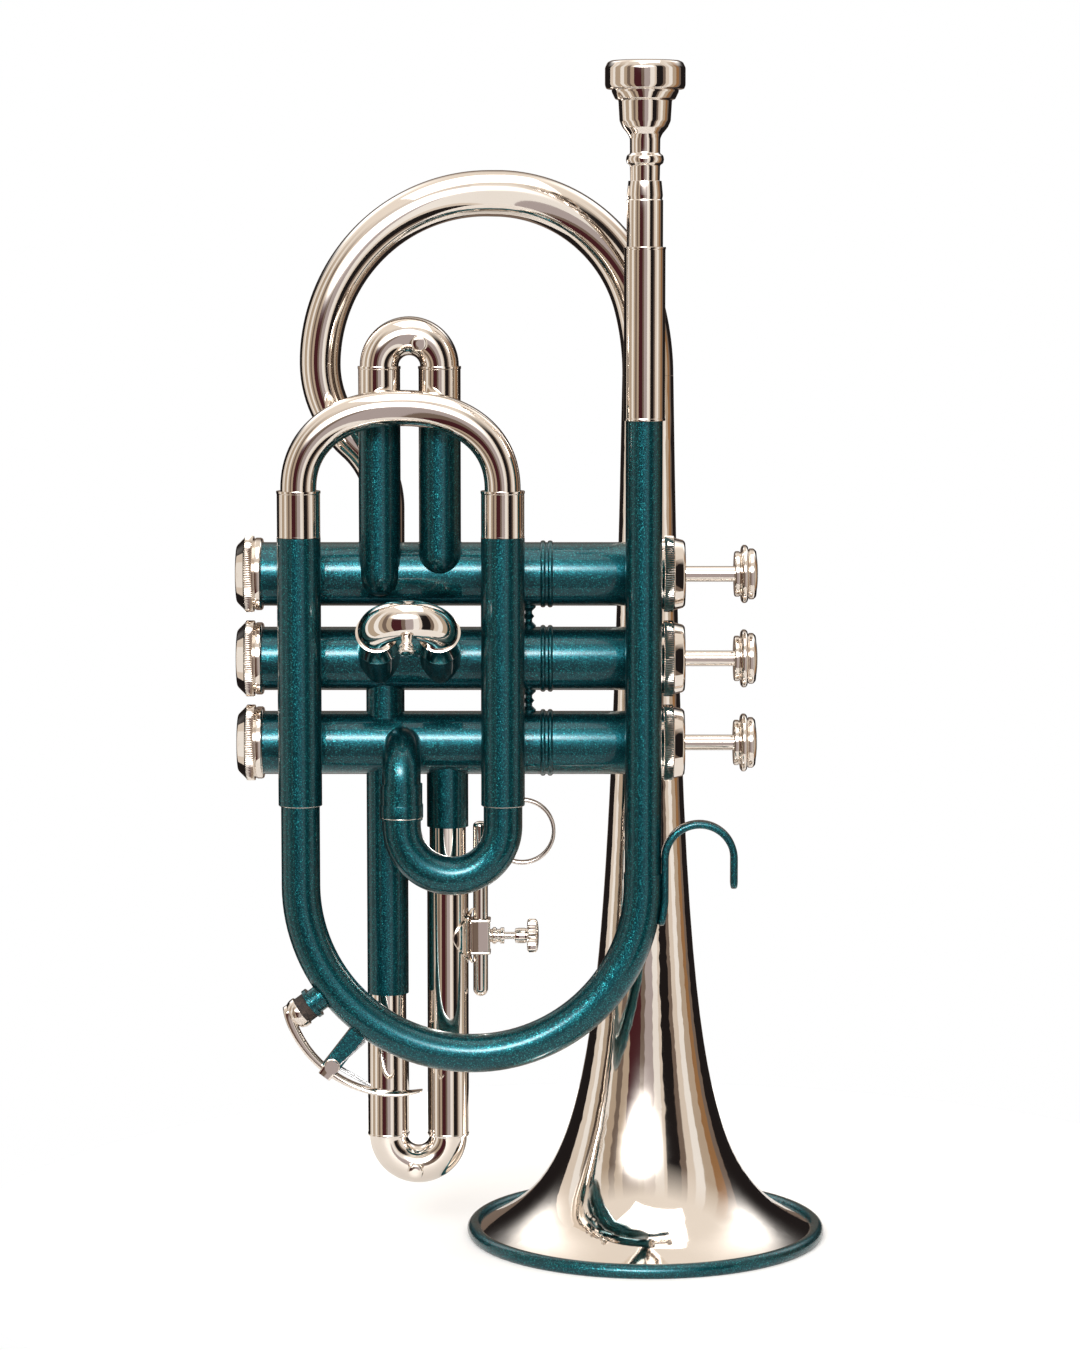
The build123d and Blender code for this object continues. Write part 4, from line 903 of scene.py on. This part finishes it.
BOW_CENTRE = Vector((middle("main_bow").x, FRONT_Y, 129.5))
KEY_SEAT, KEY_PIVOT, KEY_TIP = 36.8, 52.4, 76.5
KEY_PIVOT_REACH, CUP_REACH = 76.0, 71.0
EAR_Y, EAR_R, EAR_BORE_R = (2.9, 4.1), 2.6, 1.15
SPRING_FOOT_REACH, SPRING_COIL_R, SPRING_COIL_TURNS, SPRING_COIL_WIRE_R = 63.0, 1.55, 1.5, 0.3
CUP = [(-0.6, 4.65), (-0.6, 5.2), (1.0, 5.2), (2.4, 4.7), (3.6, 3.0), (3.9, 0), (0.0, 0), (0.0, 4.65)]
KEY_CURVE = ((36.8, 75.2), (55.4, 78.6), (76.5, 71.0))


def key_way(angle):
    """Direction out from the bow's centre, angle degrees below the level towards -X."""
    a = math.radians(angle)
    return Vector((-math.cos(a), 0, -math.sin(a)))


def key_reach(angle):
    """Distance of the lever's centreline from the bow's centre: a parabola through KEY_CURVE."""
    total = 0.0
    for i, (place, reach) in enumerate(KEY_CURVE):
        share = reach
        for j, (other, _) in enumerate(KEY_CURVE):
            if j != i:
                share *= (angle - other) / (place - other)
        total += share
    return total


def water_key():
    """Lever that tapers to a thin touch, with the cork's cup and two hinge ears."""
    stations = []
    first, last, count = KEY_SEAT - 3.6, KEY_TIP, 60
    for k in range(count + 1):
        t = k / count
        angle = first + (last - first) * t
        way = key_way(angle)
        blunt = math.sqrt(max(0.0, 1 - (1 - min(t / 0.06, 1)) ** 2)) * 0.85 + 0.15
        point = min(1.0, (1 - t) / 0.12)
        thick = 3.3 * (1 - 0.8 * t ** 1.2)
        wide = (6.6 - 2.2 * math.sin(math.pi * min(t / 0.8, 1))) * blunt * (0.3 + 0.7 * math.sqrt(point))
        place = BOW_CENTRE + way * key_reach(angle)
        stations.append(strip_section(place, way, TO_BACK, thick, wide, 0.9, 4))
    seat = key_way(KEY_SEAT)
    cup = lathe(soften(CUP, 0.35, 3), BOW_CENTRE + seat * CUP_REACH, seat, 80)
    pivot = BOW_CENTRE + key_way(KEY_PIVOT) * KEY_PIVOT_REACH
    near, far = EAR_Y
    ears = []
    for side in (-1, 1):
        start = pivot + TO_BACK * side * near
        plate = [(0, EAR_BORE_R), (0, EAR_R), (far - near, EAR_R), (far - near, EAR_BORE_R)]
        ears.append(lathe(soften(plate, 0.3, 3), start, TO_BACK * side, 48))
        web = []
        for reach in (1.6, 2.6, 3.6, 4.4):
            centre = pivot + key_way(KEY_PIVOT) * reach + TO_BACK * side * (near + far) / 2
            along = key_way(KEY_PIVOT).cross(TO_BACK)
            height = 2 * EAR_R - 0.2 - 0.12 * reach
            web.append(strip_section(centre, TO_BACK, along, far - near, height, 0.35, 3))
        ears.append(sweep(web))
    shape = join(sweep(stations), cup, *ears)
    add_piece("water_key_arm", *shape, "water_key", "nickel", ("water_key_lever",), 45)


def water_key_spring():
    """Torsion spring: two small coils on the hinge pin, legs on the bow and legs under the lever."""
    pivot = BOW_CENTRE + key_way(KEY_PIVOT) * KEY_PIVOT_REACH
    outward = key_way(KEY_PIVOT)
    along = Vector((-outward.z, 0, outward.x))
    sides = []
    for side in (-1, 1):
        beside = TO_BACK * side * 2.45
        path = [BOW_CENTRE + key_way(KEY_PIVOT + 3.4) * SPRING_FOOT_REACH + beside]
        for k in range(41):
            a = math.pi * 0.5 - 2 * math.pi * SPRING_COIL_TURNS * k / 40
            drift = TO_BACK * side * 0.1 * (k / 20 - 1)
            round_pin = (along * math.sin(a) + outward * math.cos(a)) * SPRING_COIL_R
            path.append(pivot + beside + drift + round_pin)
        tip_angle = KEY_PIVOT + 11.0
        path.append(BOW_CENTRE + key_way(tip_angle) * (key_reach(tip_angle) - 1.6) + TO_BACK * side * 1.2)
        sides.append(wire(path, SPRING_COIL_WIRE_R))
    shape, stands_for = join(*sides), ("water_key_spring",)
    spring = add_piece("water_key_torsion_spring", *shape, None, "spring_steel", stands_for, 60)
    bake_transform(spring)


water_key()
water_key_spring()


# Little-finger hook

HOOK_THICK, HOOK_WIDE, HOOK_ARCH_R, HOOK_HANG = 2.4, 6.0, 11.4, 10.1
MAIN_BOW_R, HOOK_SEAT_R = 6.4, 6.3


def finger_hook():
    """Strip that lies along the pipe, then arches over and down."""
    low, high = lowest("finger_hook"), highest("finger_hook")
    side_x = PIPE_X + PIPE_R + HOOK_THICK / 2
    arch_z = high.z - HOOK_ARCH_R - HOOK_THICK / 2
    tip_x = high.x - HOOK_THICK / 2
    bow_r = -lowest("main_bow").x + middle("main_bow").x - MAIN_BOW_R
    path, steps = [], 40
    for k in range(steps):
        z = low.z + (arch_z - low.z) * k / steps
        drop = max(0.0, BOW_CENTRE.z - z)
        x = BOW_CENTRE.x + math.sqrt(bow_r ** 2 - drop ** 2) + HOOK_SEAT_R + HOOK_THICK / 2
        path.append(Vector((min(x, side_x), FRONT_Y, z)))
    for k in range(61):
        a = math.pi * k / 60
        x = tip_x - HOOK_ARCH_R * (1 + math.cos(a))
        path.append(Vector((x, FRONT_Y, arch_z + HOOK_ARCH_R * math.sin(a))))
    tip_z = arch_z - HOOK_HANG
    path += [Vector((tip_x, FRONT_Y, arch_z - (arch_z - tip_z) * k / 20)) for k in range(1, 21)]
    runs = [0.0]
    for a, b in zip(path, path[1:]):
        runs.append(runs[-1] + (b - a).length)
    sections = []
    for i, (place, run) in enumerate(zip(path, runs)):
        ahead = (path[min(i + 1, len(path) - 1)] - path[max(i - 1, 0)]).normalized()
        edge = min(run, runs[-1] - run)
        full = 0.25 + 0.75 * math.sqrt(max(0.0, 1 - (1 - min(edge / 2.6, 1)) ** 2))
        thick, wide = HOOK_THICK * (0.5 + 0.5 * full), HOOK_WIDE * full
        sections.append(strip_section(place, ahead.cross(TO_BACK), TO_BACK, thick, wide, 1.0, 5))
    add_piece("little_finger_hook", *sweep(sections), "body", "lacquer", ("finger_hook",), 45)


finger_hook()


# Studio

BANDS = {
    "white": (1.0, 0.97, 0.93),
    "cream": (0.80, 0.71, 0.62),
    "beige": (0.52, 0.42, 0.32),
    "taupe": (0.20, 0.15, 0.12),
    "dark": (0.016, 0.013, 0.013),
    "wine": (0.07, 0.018, 0.022),
    "mist": (0.48, 0.42, 0.42),
    "amber": (0.34, 0.18, 0.08),
}
AROUND = [  # where each band starts, in degrees around from the front, and its colour
    (-180, "taupe"), (-166, "dark"), (-122, "cream"), (-108, "white"),
    (-98, "beige"), (-78, "white"), (-66, "beige"), (-56, "taupe"), (-46, "beige"), (-34, "wine"),
    (-14, "taupe"), (-5, "mist"), (12, "white"), (24, "cream"), (30, "dark"), (50, "taupe"), (58, "cream"),
    (70, "white"), (82, "beige"), (98, "amber"), (110, "taupe"), (120, "dark"), (166, "taupe"),
]
CEILING, CEILING_FROM, CEILING_FULL = (0.95, 0.87, 0.78, 1), 0.5, 0.8
GLOWS = [  # soft lights: degrees around, height, width in degrees, height spread, strength
    (-8, 0.42, 16, 0.12, 36.0),
    (-140, 0.62, 18, 0.16, 2.2),
    (135, 0.62, 18, 0.16, 2.2),
]
OBJECT_MIDDLE = Vector((-0.035, -0.03, 0.2))
CAMERA_TARGET, CAMERA_DISTANCE, CAMERA_RISE = (-0.0364, -0.024, 0.1969), 1.296, math.radians(6.3)
CAMERA_LENS, SENSOR_WIDTH = 103.4, 36.0


def studio_world():
    """Upright dark and tinted bands all round, which the polished metal reflects, under a pale ceiling.
    The camera sees plain white."""
    world = bpy.data.worlds.new("studio")
    scene.world = world
    world.use_nodes = True
    g = Graph(world.node_tree)
    direction = g.add("ShaderNodeTexCoord").outputs["Generated"]
    parts = g.add("ShaderNodeSeparateXYZ", {"Vector": direction})
    angle = g.math("ARCTAN2", parts.outputs["X"], g.math("MULTIPLY", parts.outputs["Y"], -1.0))
    turn = g.math("ADD", g.math("DIVIDE", angle, 2 * math.pi), 0.5)
    colours = g.ramp(turn, [(0.5 + a / 360, BANDS[name]) for a, name in AROUND], "CONSTANT")
    high = g.spread(parts.outputs["Z"], CEILING_FROM, CEILING_FULL, 0.0, 1.0)
    mixed = g.add("ShaderNodeMixRGB", {"Fac": high, "Color1": colours, "Color2": CEILING}).outputs["Color"]
    for around, height, width, depth, strength in GLOWS:
        glow = g.glow(angle, parts.outputs["Z"], math.radians(around), height, math.radians(width), depth)
        spot = {0: (strength,) * 3, "Scale": glow}
        bright = g.add("ShaderNodeVectorMath", spot, operation="SCALE").outputs[0]
        mixed = g.add("ShaderNodeVectorMath", {0: mixed, 1: bright}, operation="ADD").outputs[0]
    seen = g.add("ShaderNodeLightPath").outputs["Is Camera Ray"]
    plain = g.add("ShaderNodeMixRGB", {"Fac": seen, "Color1": mixed, "Color2": (1, 1, 1, 1)}).outputs["Color"]
    background = g.add("ShaderNodeBackground", {"Color": plain, "Strength": 1.0})
    output = g.add("ShaderNodeOutputWorld")
    g.put(output.inputs["Surface"], background.outputs["Background"])


def softbox(name, around, above, distance, size, radiance):
    """Rectangular light facing the object, around degrees from the front and above degrees up."""
    light = bpy.data.lights.new(name, "AREA")
    light.shape = "RECTANGLE"
    light.size, light.size_y = size
    light.energy = 4 * size[0] * size[1] * radiance
    turn, rise = math.radians(around), math.radians(above)
    way = Vector((math.sin(turn) * math.cos(rise), -math.cos(turn) * math.cos(rise), math.sin(rise)))
    lamp = bpy.data.objects.new(name, light)
    lamp.location = OBJECT_MIDDLE + way * distance
    lamp.rotation_euler = (-way).to_track_quat("-Z", "Y").to_euler()
    scene.collection.objects.link(lamp)


def floor(sides=96):
    """Disc under the object, which is staging and no part of it."""
    around = [2 * math.pi * k / sides for k in range(sides)]
    rim = [(FLOOR_RADIUS * math.cos(a), FLOOR_RADIUS * math.sin(a), 0) for a in around]
    mesh = bpy.data.meshes.new("floor")
    mesh.from_pydata(rim, [], [tuple(range(sides))])
    mesh.materials.append(pale_floor())
    disc = bpy.data.objects.new("floor", mesh)
    scene.collection.objects.link(disc)


def camera():
    """Long lens in front of the object and a little above its middle, looking at CAMERA_TARGET."""
    lens = bpy.data.cameras.new("camera")
    lens.sensor_width = SENSOR_WIDTH
    lens.lens = CAMERA_LENS
    lens.clip_start, lens.clip_end = 0.02, 60.0
    eye = bpy.data.objects.new("camera", lens)
    x, y, z = CAMERA_TARGET
    away, up = CAMERA_DISTANCE * math.cos(CAMERA_RISE), CAMERA_DISTANCE * math.sin(CAMERA_RISE)
    eye.location = (x, y - away, z + up)
    eye.rotation_euler = (math.pi / 2 - CAMERA_RISE, 0, 0)
    scene.collection.objects.link(eye)
    scene.camera = eye


studio_world()
softbox("overhead_softbox", 20, 80, 1.5, (1.2, 1.2), 1.1)
floor()
camera()
scene.view_settings.view_transform = "Standard"
